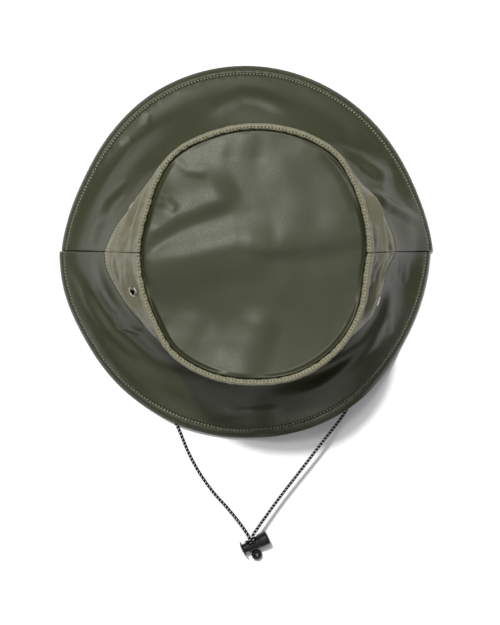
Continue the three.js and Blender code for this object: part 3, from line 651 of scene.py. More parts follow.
@dataclass(frozen=True)
class CoatedCloth:
    """Satin cloth with a thin soft coating and the dents of its stitches, with painted shade in the
    needle holes and a painted sheen beside the stitch rows.
    """

    name: str
    tone: Tone
    sheen_tint: Tone = (1.0, 1.0, 0.9, 1.0)
    gloss: float = 0.52
    roughness: float = 0.38
    grain_depth: float = 0.00003
    stitch_depth: float = 0.0003
    stitched: bool = True
    # How dark the painted shade in the needle holes between the stitches is.
    hole: float = 0.9
    # How strongly a painted sheen lightens the cloth within a few millimetres of the stitch rows,
    # which lights the band's rolled top edge like a highlight.
    painted_sheen: float = 0.0

    def make(self) -> bpy.types.Material:
        """The material."""
        material, board = new_board(self.name)
        place = board.place()
        broad = board.noise(place, 0.03, 3)
        grain = board.noise(place, 0.0011, 3)
        shade = (broad - 0.5) * 0.5 + (grain - 0.5) * 0.35 + 1.0
        dark = shaded(self.tone, 0.7)
        light = shaded(self.tone, 1.3)
        colour = board.mix((shade - 0.5).clamped(), dark, light)
        height = grain
        if self.stitched:
            count, far = board.own_map("stitch")
            groove = abs(far).step(0.9, 0.1)
            gap = abs(count.fraction() - 0.5).step(0.24, 0.36) * abs(far).step(0.85, 0.4)
            # Painted sheen: the cloth within a few millimetres of each stitch row is mixed towards
            # a lighter copy of its tone, standing in for the highlight on the rolled top edge.
            pale = shaded(self.tone, 1.8)
            colour = board.mix(abs(far).step(4.5, 2.5) * self.painted_sheen, colour, pale)
            # Painted shade: the needle holes between the stitches are mixed towards black.
            colour = board.mix(gap * self.hole, colour, (0.003, 0.003, 0.002, 1))
            height = grain * 0.18 + (1 - groove * 0.5 - gap * 0.5) * 0.82
        rough = (grain - 0.5) * 0.2 + (broad - 0.5) * 0.12 + self.roughness
        depth = self.stitch_depth if self.stitched else self.grain_depth
        board.surface(
            {"Base Color": colour, "Roughness": rough, "Normal": board.bump(height, depth),
             "Specular IOR Level": self.gloss, "Specular Tint": self.sheen_tint}
        )  # fmt: skip
        return material


@dataclass(frozen=True)
class Thread:
    """Twisted sewing thread."""

    name: str
    tone: Tone

    def make(self) -> bpy.types.Material:
        """The material."""
        material, board = new_board(self.name)
        fuzz = board.noise(board.place(), 0.0004, 2)
        dark = shaded(self.tone, 0.6)
        board.surface(
            {"Base Color": board.mix(fuzz, dark, self.tone), "Roughness": 0.65,
             "Normal": board.bump(fuzz, 0.0001, 0.6)}
        )  # fmt: skip
        return material


@dataclass(frozen=True)
class BraidedCord:
    """Black braid with light flecks, on the cord's own map of turns and metres."""

    name: str
    pitch: float = 0.0026
    black: Tone = (0.003, 0.003, 0.0035, 1.0)
    fleck: Tone = (0.46, 0.46, 0.43, 1.0)
    gloss: float = 0.15

    def make(self) -> bpy.types.Material:
        """The material."""
        material, board = new_board(self.name)
        turn, along = board.own_map("braid")
        lay = along / self.pitch
        wave = (lay * 4 + turn * 4).fraction()
        weft = (lay * 4 - turn * 4).fraction()
        braid = abs(wave - 0.5).step(0.5, 0.05) * abs(weft - 0.5).step(0.5, 0.05)
        first = (lay + turn).fraction()
        second = (lay - turn + 0.5).fraction()
        across = abs(first - 0.5).step(0.13, 0.08)
        light = (across * abs(second - 0.5).step(0.34, 0.24)).clamped()
        fuzz = board.noise(board.place(), 0.0003, 2)
        board.surface(
            {"Base Color": board.mix(light, self.black, self.fleck),
             "Roughness": fuzz * 0.3 + 0.45,
             "Normal": board.bump(braid * 0.7 + fuzz * 0.3, 0.00025, 0.9),
             "Specular IOR Level": self.gloss}
        )  # fmt: skip
        return material


@dataclass(frozen=True)
class MouldedPlastic:
    """Moulded plastic with a fine texture."""

    name: str
    tone: Tone
    roughness: float
    gloss: float = 0.26

    def make(self) -> bpy.types.Material:
        """The material."""
        material, board = new_board(self.name)
        place = board.place()
        grain = board.noise(place, 0.0004, 2)
        wear = board.noise(place, 0.004, 3)
        light = shaded(self.tone, 2.2)
        board.surface(
            {"Base Color": board.mix(wear.step(0.55, 0.8) * 0.6, self.tone, light),
             "Roughness": (grain - 0.5) * 0.25 + (wear - 0.5) * 0.2 + self.roughness,
             "Normal": board.bump(grain, 0.00004, 0.6),
             "Specular IOR Level": self.gloss}
        )  # fmt: skip
        return material


@dataclass(frozen=True)
class EyeletMetal:
    """Pressed metal with a little wear, brushed round."""

    name: str

    def make(self) -> bpy.types.Material:
        """The material."""
        material, board = new_board(self.name)
        place = board.place()
        wear = board.noise(place, 0.0012, 3)
        board.surface(
            {"Base Color": board.mix(wear, srgb(120, 118, 108), srgb(214, 212, 200)),
             "Metallic": 1.0, "Roughness": wear * 0.3 + 0.14,
             "Normal": board.bump(wear, 0.00006, 0.5)}
        )  # fmt: skip
        return material


@dataclass(frozen=True)
class PaleFloor:
    """A plain white sweep, barely mottled."""

    name: str

    def make(self) -> bpy.types.Material:
        """The material."""
        material, board = new_board(self.name)
        tone = board.noise(board.place(), 0.2, 2)
        colour = board.mix(tone, (0.65, 0.65, 0.65, 1), (0.67, 0.67, 0.67, 1))
        board.surface({"Base Color": colour, "Roughness": 0.9, "Specular IOR Level": 0.2})
        return material


def put(name: str, data: bpy.types.ID) -> bpy.types.Object:
    """A new object of the scene."""
    made = bpy.data.objects.new(name, data)
    bpy.context.scene.collection.objects.link(made)
    return made


def link(name: str, mesh: bpy.types.Mesh, material: bpy.types.Material) -> bpy.types.Object:
    """An object at the origin that shows a mesh in one material."""
    mesh.materials.append(material)
    return put(name, mesh)


def carry(piece: bpy.types.Object, body: Body, slot: str, *nodes: str) -> None:
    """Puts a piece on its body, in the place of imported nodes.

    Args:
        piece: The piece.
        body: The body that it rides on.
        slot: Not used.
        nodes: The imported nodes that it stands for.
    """
    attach(piece, body.value)
    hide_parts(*nodes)
    log.info("%s: %d faces", piece.name, len(piece.data.polygons))


def finish_mesh(bm: bmesh.types.BMesh, name: str, sharp: float = 50) -> bpy.types.Mesh:
    """A mesh from a bmesh, smooth but for its sharp edges.

    Args:
        bm: The bmesh, which is freed.
        name: The mesh's name.
        sharp: The angle in degrees past which an edge is sharp.

    Returns:
        The mesh.
    """
    mesh = bpy.data.meshes.new(name)
    for face in bm.faces:
        face.smooth = True
    bm.to_mesh(mesh)
    bm.free()
    mesh.set_sharp_from_angle(angle=math.radians(sharp))
    return mesh


def read_points(mesh: bpy.types.Mesh) -> Array:
    """The mesh's points."""
    points = np.zeros(len(mesh.vertices) * 3)
    mesh.vertices.foreach_get("co", points)
    return points.reshape(-1, 3)


def write_points(mesh: bpy.types.Mesh, points: Array) -> None:
    """Moves the mesh's points."""
    mesh.vertices.foreach_set("co", points.astype(np.float32).ravel())
    mesh.update()


def write_map(mesh: bpy.types.Mesh, name: str, values: Array) -> None:
    """Gives the mesh a map with two numbers for each point."""
    corners = np.zeros(len(mesh.loops), dtype=np.int32)
    mesh.loops.foreach_get("vertex_index", corners)
    layer = mesh.uv_layers.new(name=name)
    layer.data.foreach_set("uv", values[corners].astype(np.float32).ravel())


def merge_seam(mesh: bpy.types.Mesh) -> None:
    """Closes the seam and the poles of a mesh that was bent round."""
    bm = bmesh.new()
    bm.from_mesh(mesh)
    bmesh.ops.remove_doubles(bm, verts=bm.verts, dist=1e-7)
    bmesh.ops.dissolve_degenerate(bm, edges=bm.edges, dist=1e-8)
    bmesh.ops.recalc_face_normals(bm, faces=bm.faces)
    bm.to_mesh(mesh)
    bm.free()


@dataclass
class ClothPanel:
    """A sheet of cloth with its thickness, made from a flat grid.

    Fields:
        name: The piece's name.
        columns: Steps round the hat.
        rows: Steps across the cloth.
        crowd: How much denser the rows are at both edges, from 0 to 1.
    """

    name: str
    columns: int
    rows: int
    crowd: float = 0.7

    def build(
        self,
        outside: Callable[[Array, Array], Array],
        inside: Callable[[Array, Array], Array],
        stitch_map: Callable[[Array, Array], Array],
        closed: bool = False,
    ) -> bpy.types.Mesh:
        """Makes the mesh.

        Args:
            outside: The outer surface, in metres, at shares round and across.
            inside: The inner surface.
            stitch_map: The count along the stitch line and the millimetres from it.
            closed: Whether the sheet goes all the way round.

        Returns:
            A closed mesh.
        """
        bm = bmesh.new()
        bmesh.ops.create_grid(bm, x_segments=self.columns, y_segments=self.rows, size=0.5)
        bmesh.ops.solidify(bm, geom=[*bm.verts, *bm.edges, *bm.faces], thickness=0.1)
        if closed:
            self.open_ends(bm)
        mesh = finish_mesh(bm, self.name, 179)
        flat = read_points(mesh)
        u = np.clip(flat[:, 0] + 0.5, 0, 1)
        v = np.clip(flat[:, 1] + 0.5, 0, 1)
        v = v - self.crowd * np.sin(2 * np.pi * v) / (2 * np.pi)
        inner = flat[:, 2] < -0.05
        points = np.zeros_like(flat)
        points[~inner] = outside(u[~inner], v[~inner])
        points[inner] = inside(u[inner], v[inner])
        write_points(mesh, points)
        write_map(mesh, "stitch", stitch_map(u, v))
        if closed:
            merge_seam(mesh)
        mesh.set_sharp_from_angle(angle=math.radians(60))
        return mesh

    def open_ends(self, bm: bmesh.types.BMesh) -> None:
        """Takes away the walls that would meet inside a sheet that closes on itself."""
        walls = []
        for face in bm.faces:
            middle = face.calc_center_median()
            if abs(middle.x) > 0.5 - 1e-6 or middle.y > 0.5 - 1e-6:
                walls.append(face)
        bmesh.ops.delete(bm, geom=walls, context="FACES")


def normals_of(surface: Surface, u: Array, v: Array) -> Array:
    """Unit normals of a surface given on shares round and across."""
    du, dv = 0.0012, 0.008
    across = surface(np.minimum(u + du, 1), v) - surface(np.maximum(u - du, 0), v)
    climb = surface(u, np.minimum(v + dv, 1)) - surface(u, np.maximum(v - dv, 0))
    return unit(np.cross(across, climb))


@dataclass
class StitchRow:
    """A row of machine stitches along a line on the cloth, all in metres."""

    name: str
    pitch: float = 0.00245
    length: float = 0.00155
    width: float = 0.00075
    height: float = 0.0006
    lift: float = 0.00008

    def spots(self, surface: Surface, line: Line) -> tuple[Array, Array, Array]:
        """Places, directions and facings of the stitches.

        Args:
            surface: The cloth's outer surface, in metres.
            line: Shares round and across at shares of the way along the line.

        Returns:
            Points, tangents and normals.
        """
        way = np.linspace(0, 1, LINE_STEPS)
        run = run_along(surface(*line(way)))
        count = int(run[-1] / self.pitch)
        marks = np.interp((np.arange(count) + 0.5) * run[-1] / count, run, way)
        step = 0.4 * self.pitch / run[-1]
        tangent = surface(*line(np.minimum(marks + step, 1)))
        tangent = unit(tangent - surface(*line(np.maximum(marks - step, 0))))
        return surface(*line(marks)), tangent, normals_of(surface, *line(marks))

    def build(
        self, surface: Surface, lines: Sequence[Line], material: bpy.types.Material
    ) -> bpy.types.Object:
        """Makes the stitches of all lines as one piece.

        Args:
            surface: The cloth's outer surface, in metres.
            lines: The lines that they follow.
            material: The thread.

        Returns:
            The piece.
        """
        bm = bmesh.new()
        for line in lines:
            for point, tangent, normal in zip(*self.spots(surface, line)):
                side = np.cross(normal, tangent)
                turn = Matrix((tangent, unit(side), normal)).transposed().to_4x4()
                size = Matrix.Diagonal((self.length, self.width, self.height, 1))
                spot = Matrix.Translation(Vector(point + normal * self.lift))
                bmesh.ops.create_uvsphere(
                    bm, u_segments=6, v_segments=4, radius=0.5, matrix=spot @ turn @ size
                )
        return link(self.name, finish_mesh(bm, self.name, 80), material)


@dataclass
class ClothHalf:
    """A sewn part that reaches round half of the hat, from side seam to side seam."""

    shape: HatShape
    half: Half
    seam_share: float = 0.01
    lowest: float = 0.05

    def angle(self, u: Array) -> Array:
        """The angle at a share of the way round."""
        return self.half.start + (self.half.end - self.half.start) * u

    def seam_turn(self, u: Array) -> Array:
        """The angle to the nearer side seam, in radians."""
        deg = self.angle(u)
        return np.radians(np.minimum(deg - self.half.start, self.half.end - deg))

    def base_surface(self, u: Array, v: Array) -> Array:
        """The part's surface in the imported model, in millimetres."""
        raise NotImplementedError

    def edge_drop(self, u: Array, v: Array) -> Array:
        """The rounding of the cloth's edges, in millimetres."""
        raise NotImplementedError

    def relief(self, u: Array, v: Array) -> Array:
        """The fine shape of the cloth above the base surface, in millimetres."""
        raise NotImplementedError

    def seam_normals(self, u: Array, v: Array) -> Array:
        """Normals that have no part along Y at the side seams."""
        normal = normals_of(self.base_surface, u, v)
        near = ramp(1 - np.minimum(u, 1 - u) / self.seam_share)
        normal[:, 1] *= 1 - near
        return unit(normal)

    def moved(self, u: Array, v: Array, rise: Array, lowest: float) -> Array:
        """The base surface moved along its normals and half a gap off the seam.

        Args:
            u: Shares round this half.
            v: Shares across the cloth.
            rise: How far each point moves outwards, in millimetres.
            lowest: The height that no point goes below, in millimetres.

        Returns:
            Points in metres.
        """
        point = self.base_surface(u, v) + self.seam_normals(u, v) * rise[:, None]
        point[:, 1] += self.half.side * self.shape.gap / 2
        point[:, 2] = np.maximum(point[:, 2], lowest)
        return point * MM

    def outside(self, u: Array, v: Array) -> Array:
        """The outer surface, in metres."""
        rise = self.relief(u, v) - self.edge_drop(u, v)
        return self.moved(u, v, rise, self.lowest)

    def inside(self, u: Array, v: Array) -> Array:
        """The inner surface, in metres."""
        return self.moved(u, v, self.edge_drop(u, v) - self.shape.wall, 0.0)

    def count(self, u: Array, line: Line) -> Array:
        """How many stitches of a line there are up to each share of the way round.

        Args:
            u: Shares of the way round.
            line: The line of the stitches.

        Returns:
            Counts, with parts of a stitch.
        """
        way = np.linspace(0, 1, LINE_STEPS)
        run = run_along(self.outside(*line(way)))
        count = int(run[-1] / StitchRow.pitch)
        return np.interp(u, way, run / run[-1] * count)

    def sew(self, name: str, lines: Sequence[Line], thread: bpy.types.Material) -> bpy.types.Object:
        """Makes the stitches along these lines.

        Args:
            name: The start of the piece's name.
            lines: The lines that the stitches follow.
            thread: The thread's finish.

        Returns:
            The stitches, on the hat's body.
        """
        row = StitchRow(f"{name}_{self.half.name}")
        stitches = row.build(self.outside, lines, thread)
        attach(stitches, Body.HAT.value)
        return stitches


@dataclass
class Brim(ClothHalf):
    """One half of the brim, with its turned hem and its row of stitches.

    Fields, in millimetres:
        hem_width: How far in the hem's stitches run.
        hem_rise: How high the turned hem holds the cloth up at its stitches.
        hem_flank: How far in that rise fades.
        hem_fold: How much the doubled cloth of the hem swells.
        unevenness: How much the cloth between hem and crown rises and falls.
        pucker: How much the cloth puckers beside the hem's stitches.
        stitch_dent: How deep and how wide the stitches pull the cloth in.
        seam_dent: How deep and how wide the side seam pulls it in.
    """

    columns: int = 400
    rows: int = 72
    hem_width: float = 7.0
    hem_rise: float = 1.7
    hem_flank: float = 17
    hem_fold: float = 0.42
    unevenness: float = 0.35
    pucker: float = 0.2
    stitch_dent: tuple[float, float] = (0.6, 1.4)
    seam_dent: tuple[float, float] = (0.25, 1.5)
    crease_taper: float = 0.25
    edge: float = 0.6

    def base_surface(self, u: Array, v: Array) -> Array:
        """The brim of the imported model, in millimetres."""
        return self.shape.brim_point(self.angle(u), v, self.half)

    def edge_drop(self, u: Array, v: Array) -> Array:
        """The rounding of the cloth's edges, in millimetres."""
        length = self.shape.brim_length(self.angle(u), self.half)
        reach = length * (1 - v) + self.shape.base_half_width
        drop = rounding(v * length, self.edge) + rounding((1 - v) * length, self.edge)
        drop = drop + rounding(self.seam_turn(u) * reach, self.edge)
        return np.minimum(drop, self.edge)

    def relief(self, u: Array, v: Array) -> Array:
        """The fine shape of the cloth above the base surface.

        Args:
            u: Shares of the way round.
            v: Shares of the way from the hem to the crown.

        Returns:
            Heights in millimetres.
        """
        deg = self.angle(u)
        length = self.shape.brim_length(deg, self.half)
        far = v * length
        past_hem = far - self.hem_width
        x, y, _ = self.base_surface(u, v).T
        fade = ramp(past_hem / 8) * ramp((1 - v) * length / 7)
        height = sum(c.height(x, y, self.crease_taper) for c in BRIM_CREASES) * fade
        height = height + self.unevenness * ripple(x / 26, y / 26, 3.1) * fade
        run = np.radians(deg) * self.shape.brim_radius
        pucker = ripple(run / 3.6, far / 9, 7.7) + 0.7 * ripple(run / 1.9, far / 6, 1.3)
        height = height + self.pucker * pucker * bell(past_hem / 6.5)
        half_hem = 0.5 * self.hem_width
        height = height + self.hem_fold * bell((far - half_hem) / half_hem)
        depth, width = self.seam_dent
        height = height - depth * bell(self.seam_turn(u) * np.hypot(x, y) / width)
        inner = bell(np.maximum(past_hem, 0) / self.hem_flank)
        outer = 1 - (1 - np.minimum(far / self.hem_width, 1)) ** 2
        depth, width = self.stitch_dent
        return height + self.hem_rise * inner * outer - depth * bell(past_hem / width)

    def stitch_map(self, u: Array, v: Array) -> Array:
        """The count of the hem's stitches and millimetres from them."""
        far = v * self.shape.brim_length(self.angle(u), self.half) - self.hem_width
        return np.stack([self.count(u, self.hem_line), far], axis=1)

    def hem_line(self, way: Array) -> tuple[Array, Array]:
        """The line of the hem's stitches."""
        return way, self.hem_width / self.shape.brim_length(self.angle(way), self.half)

    def build(self, cloth: bpy.types.Material, thread: bpy.types.Material) -> None:
        """Makes the brim half and its stitches.

        Args:
            cloth: The cloth's finish.
            thread: The thread's finish.
        """
        panel = ClothPanel(f"brim_cloth_{self.half.name}", self.columns, self.rows)
        mesh = panel.build(self.outside, self.inside, self.stitch_map)
        piece = link(panel.name, mesh, cloth)
        carry(piece, Body.HAT, "brim_cloth", f"brim_{self.half.name}")
        stitches = self.sew("hem_stitches", [self.hem_line], thread)


@dataclass
class SideBand(ClothHalf):
    """One half of the crown's side, with its rolled top edge and two rows of stitches.

    Fields:
        wall_share: The share of the rows that makes the wall.
        roll_share: The share of the rows up to the end of the rolled edge.
        base_line: How far above the brim the lower stitches run, in millimetres.
        strip_turn: How many degrees round the rolled edge the upper stitches run.
        mean_reach: The wall's mean distance from the hat's middle, in millimetres.
        seam_reach: The same at the side seams.
        hole: The radius of an eyelet's hole.
        hole_calm: How near an eyelet the cloth is flat, and over how far it wrinkles again.
    """

    columns: int = 340
    rows: int = 84
    wall_share: float = 0.84
    roll_share: float = 0.96
    base_line: float = 2.2
    strip_turn: float = 112
    mean_reach: float = 92
    seam_reach: float = 96
    seam_dent: float = 0.3
    strip_dent: float = 0.12
    pucker: float = 0.3
    edge: float = 0.5
    hole: float = 2.75
    hole_calm: tuple[float, float] = (4.5, 6)

    def station(self, v: Array) -> tuple[Array, Array, Array]:
        """The share up the wall, the degrees round the roll and the share of the lip."""
        up = np.clip(v / self.wall_share, 0, 1)
        roll = 180 * np.clip((v - self.wall_share) / (self.roll_share - self.wall_share), 0, 1)
        lip = np.clip((v - self.roll_share) / (1 - self.roll_share), 0, 1)
        return up, roll, lip

    def base_surface(self, u: Array, v: Array) -> Array:
        """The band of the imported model, in millimetres."""
        return self.shape.band_point(self.angle(u), *self.station(v), self.half)

    def edge_drop(self, u: Array, v: Array) -> Array:
        """The rounding of the cloth's edges, in millimetres."""
        length = self.shape.band_length(self.angle(u), self.half)
        drop = rounding(self.station(v)[0] * length, self.edge)
        drop = drop + rounding(self.seam_turn(u) * self.seam_reach, self.edge)
        return np.minimum(drop, self.edge)

    def relief(self, u: Array, v: Array) -> Array:
        """The fine shape of the cloth above the base surface.

        Args:
            u: Shares of the way round.
            v: Shares of the way from the brim over the rolled edge.

        Returns:
            Heights in millimetres.
        """
        deg = self.angle(u)
        up, roll, lip = self.station(v)
        length = self.shape.band_length(deg, self.half)
        fade = ramp(up / 0.1) * ramp((1 - up) / 0.06)
        pleats = self.shape.fold_depth * sum(f.height(deg, up) for f in BAND_CREASES)
        run = np.radians(deg) * self.mean_reach
        height = (pleats + 0.4 * ripple(run / 16, up * 9, 5.3)) * fade
        height = height + 0.25 * ripple(run / 5, up * 16, 2.9) * ramp(up / 0.05)
        on_strip = ramp(roll / 30) * (1 - lip)
        diagonal = run / 3.2 + roll / 60
        pucker = ripple(diagonal, roll / 140, 9.2) + 0.5 * ripple(diagonal * 2.1, roll / 90, 4)
        height = height + self.pucker * pucker * on_strip
        seam = bell((up * length - self.base_line) / 2.2) * (roll <= 0)
        strip = bell((roll - self.strip_turn) / 34) * (roll > 0)
        height = height - self.seam_dent * seam - self.strip_dent * strip
        return height * self.freedom(self.base_surface(u, v))

    def freedom(self, points: Array) -> Array:
        """How freely the cloth wrinkles, from nothing at an eyelet to 1 away from it."""
        free = np.ones(len(points))
        flat, fade = self.hole_calm
        for seat, _ in self.shape.presses:
            far = np.linalg.norm(points - seat, axis=-1)
            free = np.minimum(free, ramp((far - flat) / fade))
        return free

    def hole_cutters(self) -> list[bpy.types.Object]:
        """Short rods through the cloth where this half's eyelets sit."""
        rods = []
        for seat, (point, normal) in zip(EYELET_SEATS, self.shape.presses):
            if seat.half is not self.half:
                continue
            place = Vector(point) * MM + Vector((0, self.half.side * self.shape.gap / 2 * MM, 0))
            turn = Vector(normal).to_track_quat("Z", "Y").to_matrix().to_4x4()
            bm = bmesh.new()
            bmesh.ops.create_cone(
                bm, cap_ends=True, segments=32, radius1=self.hole * MM, radius2=self.hole * MM,
                depth=8 * self.shape.wall * MM, matrix=Matrix.Translation(place) @ turn,
            )  # fmt: skip
            rods.append(put("hole_cutter", finish_mesh(bm, "hole_cutter")))
        return rods

    def seam_line(self, way: Array) -> tuple[Array, Array]:
        """The line of the stitches above the brim."""
        length = self.shape.band_length(self.angle(way), self.half)
        return way, self.wall_share * self.base_line / length

    def strip_line(self, way: Array) -> tuple[Array, Array]:
        """The line of the stitches on the rolled edge."""
        share = self.wall_share + (self.roll_share - self.wall_share) * self.strip_turn / 180
        return way, np.full_like(way, share)

    def stitch_map(self, u: Array, v: Array) -> Array:
        """The count of stitches along the nearer row and millimetres from it."""
        up, roll, lip = self.station(v)
        low = up * self.shape.band_length(self.angle(u), self.half) - self.base_line
        high = (roll - self.strip_turn) * math.radians(self.shape.roll_radius) + 3 * lip
        far = np.where(roll > 0, high, low)
        row = np.where(roll > 0, self.count(u, self.strip_line), self.count(u, self.seam_line))
        return np.stack([row, far], axis=1)

    def build(self, cloth: bpy.types.Material, thread: bpy.types.Material) -> None:
        """Makes the band half and its stitches.

        Args:
            cloth: The cloth's finish.
            thread: The thread's finish.
        """
        panel = ClothPanel(f"band_cloth_{self.half.name}", self.columns, self.rows, 0.25)
        mesh = panel.build(self.outside, self.inside, self.stitch_map)
        piece = link(panel.name, mesh, cloth)
        for rod in self.hole_cutters():
            cut(piece, rod)
        carry(piece, Body.HAT, "band_cloth", f"crown_band_{self.half.name}")
        stitches = self.sew("band_stitches", [self.seam_line, self.strip_line], thread)


@dataclass
class CrownTop:
    """The top panel, dented as it lies."""

    shape: HatShape
    columns: int = 260
    rows: int = 84
    edge: float = 0.8
    edge_fade: float = 3.0
    fold_ends: float = 0.2
    unevenness: float = 0.5
    tuck: float = 0.35
    tuck_turn: float = 13

    def base_surface(self, u: Array, v: Array) -> Array:
        """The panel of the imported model, from its edge at 0 to its middle at 1."""
        return self.shape.panel_point(360 * (u % 1), 1 - v)

    def relief(self, point: Array, u: Array, far: Array) -> Array:
        """How high the panel's folds, dents and edge tucks stand.

        Args:
            point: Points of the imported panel, in millimetres.
            u: Shares of the way round.
            far: Millimetres from the panel's edge.

        Returns:
            Heights in millimetres.
        """
        x = point[:, 0] - self.shape.tip_shift[0]
        y = point[:, 1] - self.shape.tip_shift[1]
        height = sum(c.height(x, y, self.fold_ends) for c in TIP_CREASES)
        height = height + self.unevenness * ripple(x / 21, y / 21, 1.7)
        round_x = self.tuck_turn * np.cos(2 * np.pi * u)
        round_y = self.tuck_turn * np.sin(2 * np.pi * u)
        tucks = ripple(round_x, round_y, 6.1) * bell((far - 4) / 9)
        tucks = tucks * round_x**2 / self.tuck_turn**2
        return height * ramp((far - 0.5) / self.edge_fade) + self.tuck * tucks

    def outside(self, u: Array, v: Array) -> Array:
        """The outer surface, in metres."""
        point = self.base_surface(u, v)
        far = v * self.shape.tip_radius(360 * (u % 1))
        point[:, 2] += self.relief(point, u, far) - rounding(far, self.edge)
        return point * MM

    def inside(self, u: Array, v: Array) -> Array:
        """The inner surface, in metres."""
        point = self.base_surface(u, v)
        far = v * self.shape.tip_radius(360 * (u % 1))
        point[:, 2] += self.relief(point, u, far) - self.shape.wall + rounding(far, 0.5 * self.edge)
        return point * MM

    def stitch_map(self, u: Array, v: Array) -> Array:
        """No stitches show on this panel, so every point is far from them."""
        return np.stack([np.zeros_like(u), np.full_like(v, 9.0)], axis=1)

    def build(self, cloth: bpy.types.Material) -> None:
        """Makes the panel."""
        panel = ClothPanel("crown_top_cloth", self.columns, self.rows, 0.5)
        mesh = panel.build(self.outside, self.inside, self.stitch_map, closed=True)
        piece = link("crown_top_cloth", mesh, cloth)
        carry(piece, Body.HAT, "crown_cloth", "crown_top")


def spun(
    name: str,
    outline: Sequence[tuple[float, float]],
    steps: int,
    turn: Matrix,
    material: bpy.types.Material,
    round_off: float = 0.0,
    cutter: bpy.types.Object | None = None,
) -> bpy.types.Object:
    """A turned piece.

    Args:
        name: The piece's name.
        outline: Distances from the axis and heights along it, in millimetres.
        steps: Facets round the axis.
        turn: Where the piece stands: its axis is the matrix's Z.
        material: Its finish.
        round_off: How far the outline's corners are rounded, in millimetres.
        cutter: A solid that is cut out of it.

    Returns:
        The piece, at the origin.
    """
    bm = bmesh.new()
    dots = [bm.verts.new((radius * MM, 0, height * MM)) for radius, height in outline]
    closed = outline[0][0] > 1e-6 or outline[-1][0] > 1e-6
    lines = [bm.edges.new(pair) for pair in zip(dots, dots[1:])]
    if closed:
        lines.append(bm.edges.new((dots[-1], dots[0])))
    if round_off > 0:
        corners = [d for d in dots if d.co.x > 1e-6]
        bmesh.ops.bevel(
            bm, geom=corners, offset=round_off * MM, offset_type="OFFSET", affect="VERTICES",
            segments=3, profile=0.5, material=-1, clamp_overlap=True,
        )  # fmt: skip
    geometry = [*bm.verts, *bm.edges]
    bmesh.ops.spin(
        bm, geom=geometry, axis=(0, 0, 1), cent=(0, 0, 0), dvec=(0, 0, 0),
        angle=2 * math.pi, steps=steps, use_merge=True, use_duplicate=False,
    )  # fmt: skip
    bmesh.ops.remove_doubles(bm, verts=bm.verts, dist=1e-7)
    bmesh.ops.recalc_face_normals(bm, faces=bm.faces)
    bmesh.ops.transform(bm, matrix=turn, verts=bm.verts)
    piece = link(name, finish_mesh(bm, name, 40), material)
    if cutter is not None:
        cut(piece, cutter)
    return piece


def cut(piece: bpy.types.Object, cutter: bpy.types.Object) -> None:
    """Takes the cutter out of the piece and removes it."""
    modifier = piece.modifiers.new("cut", "BOOLEAN")
    modifier.operation = "DIFFERENCE"
    modifier.solver = "EXACT"
    modifier.object = cutter
    apply_modifiers(piece)
    bpy.data.objects.remove(cutter)


def apply_modifiers(piece: bpy.types.Object) -> None:
    """Turns the modifiers' result into the piece's own mesh."""
    bpy.context.view_layer.update()
    seen = piece.evaluated_get(bpy.context.evaluated_depsgraph_get())
    mesh = bpy.data.meshes.new_from_object(seen)
    piece.modifiers.clear()
    piece.data = mesh
    mesh.name = piece.name


@dataclass
class Eyelets:
    """The four metal air eyelets of the side band."""

    shape: HatShape
    radius: float = 3.8
    bore: float = 1.9
    flange: float = 0.6
    standoff: float = 0.5
    corner: float = 0.09
    steps: int = 40

    def outline(self) -> list[tuple[float, float]]:
        """The ring's section from the bore outwards, in millimetres."""
        top = self.standoff
        low = -self.shape.wall - self.standoff
        sleeve = self.bore + 0.6
        return [
            (self.bore, low - 0.4 * self.flange), (self.bore + 0.35, low - self.flange),
            (self.radius - 0.5, low - 0.7 * self.flange), (self.radius, low),
            (sleeve, low + 0.05), (sleeve, top - 0.05), (self.radius, top - 0.25),
            (self.radius - 0.12, top + 0.1), (self.radius - 0.9, top + 0.9 * self.flange),
            (self.bore + 0.6, top + self.flange), (self.bore + 0.15, top + 0.7 * self.flange),
            (self.bore, top + 0.2 * self.flange),
        ]  # fmt: skip

    def build(self, metal: bpy.types.Material) -> None:
        """Makes the rings."""
        for seat, (point, normal) in zip(EYELET_SEATS, self.shape.presses):
            place = Vector(point) * MM
            place.y += seat.half.side * self.shape.gap / 2 * MM
            turn = Vector(normal).to_track_quat("Z", "Y").to_matrix().to_4x4()
            name = f"{seat.name}_ring"
            spot = Matrix.Translation(place) @ turn
            ring = spun(name, self.outline(), self.steps, spot, metal, self.corner)
            carry(ring, Body.HAT, "eyelet_metal", seat.name)


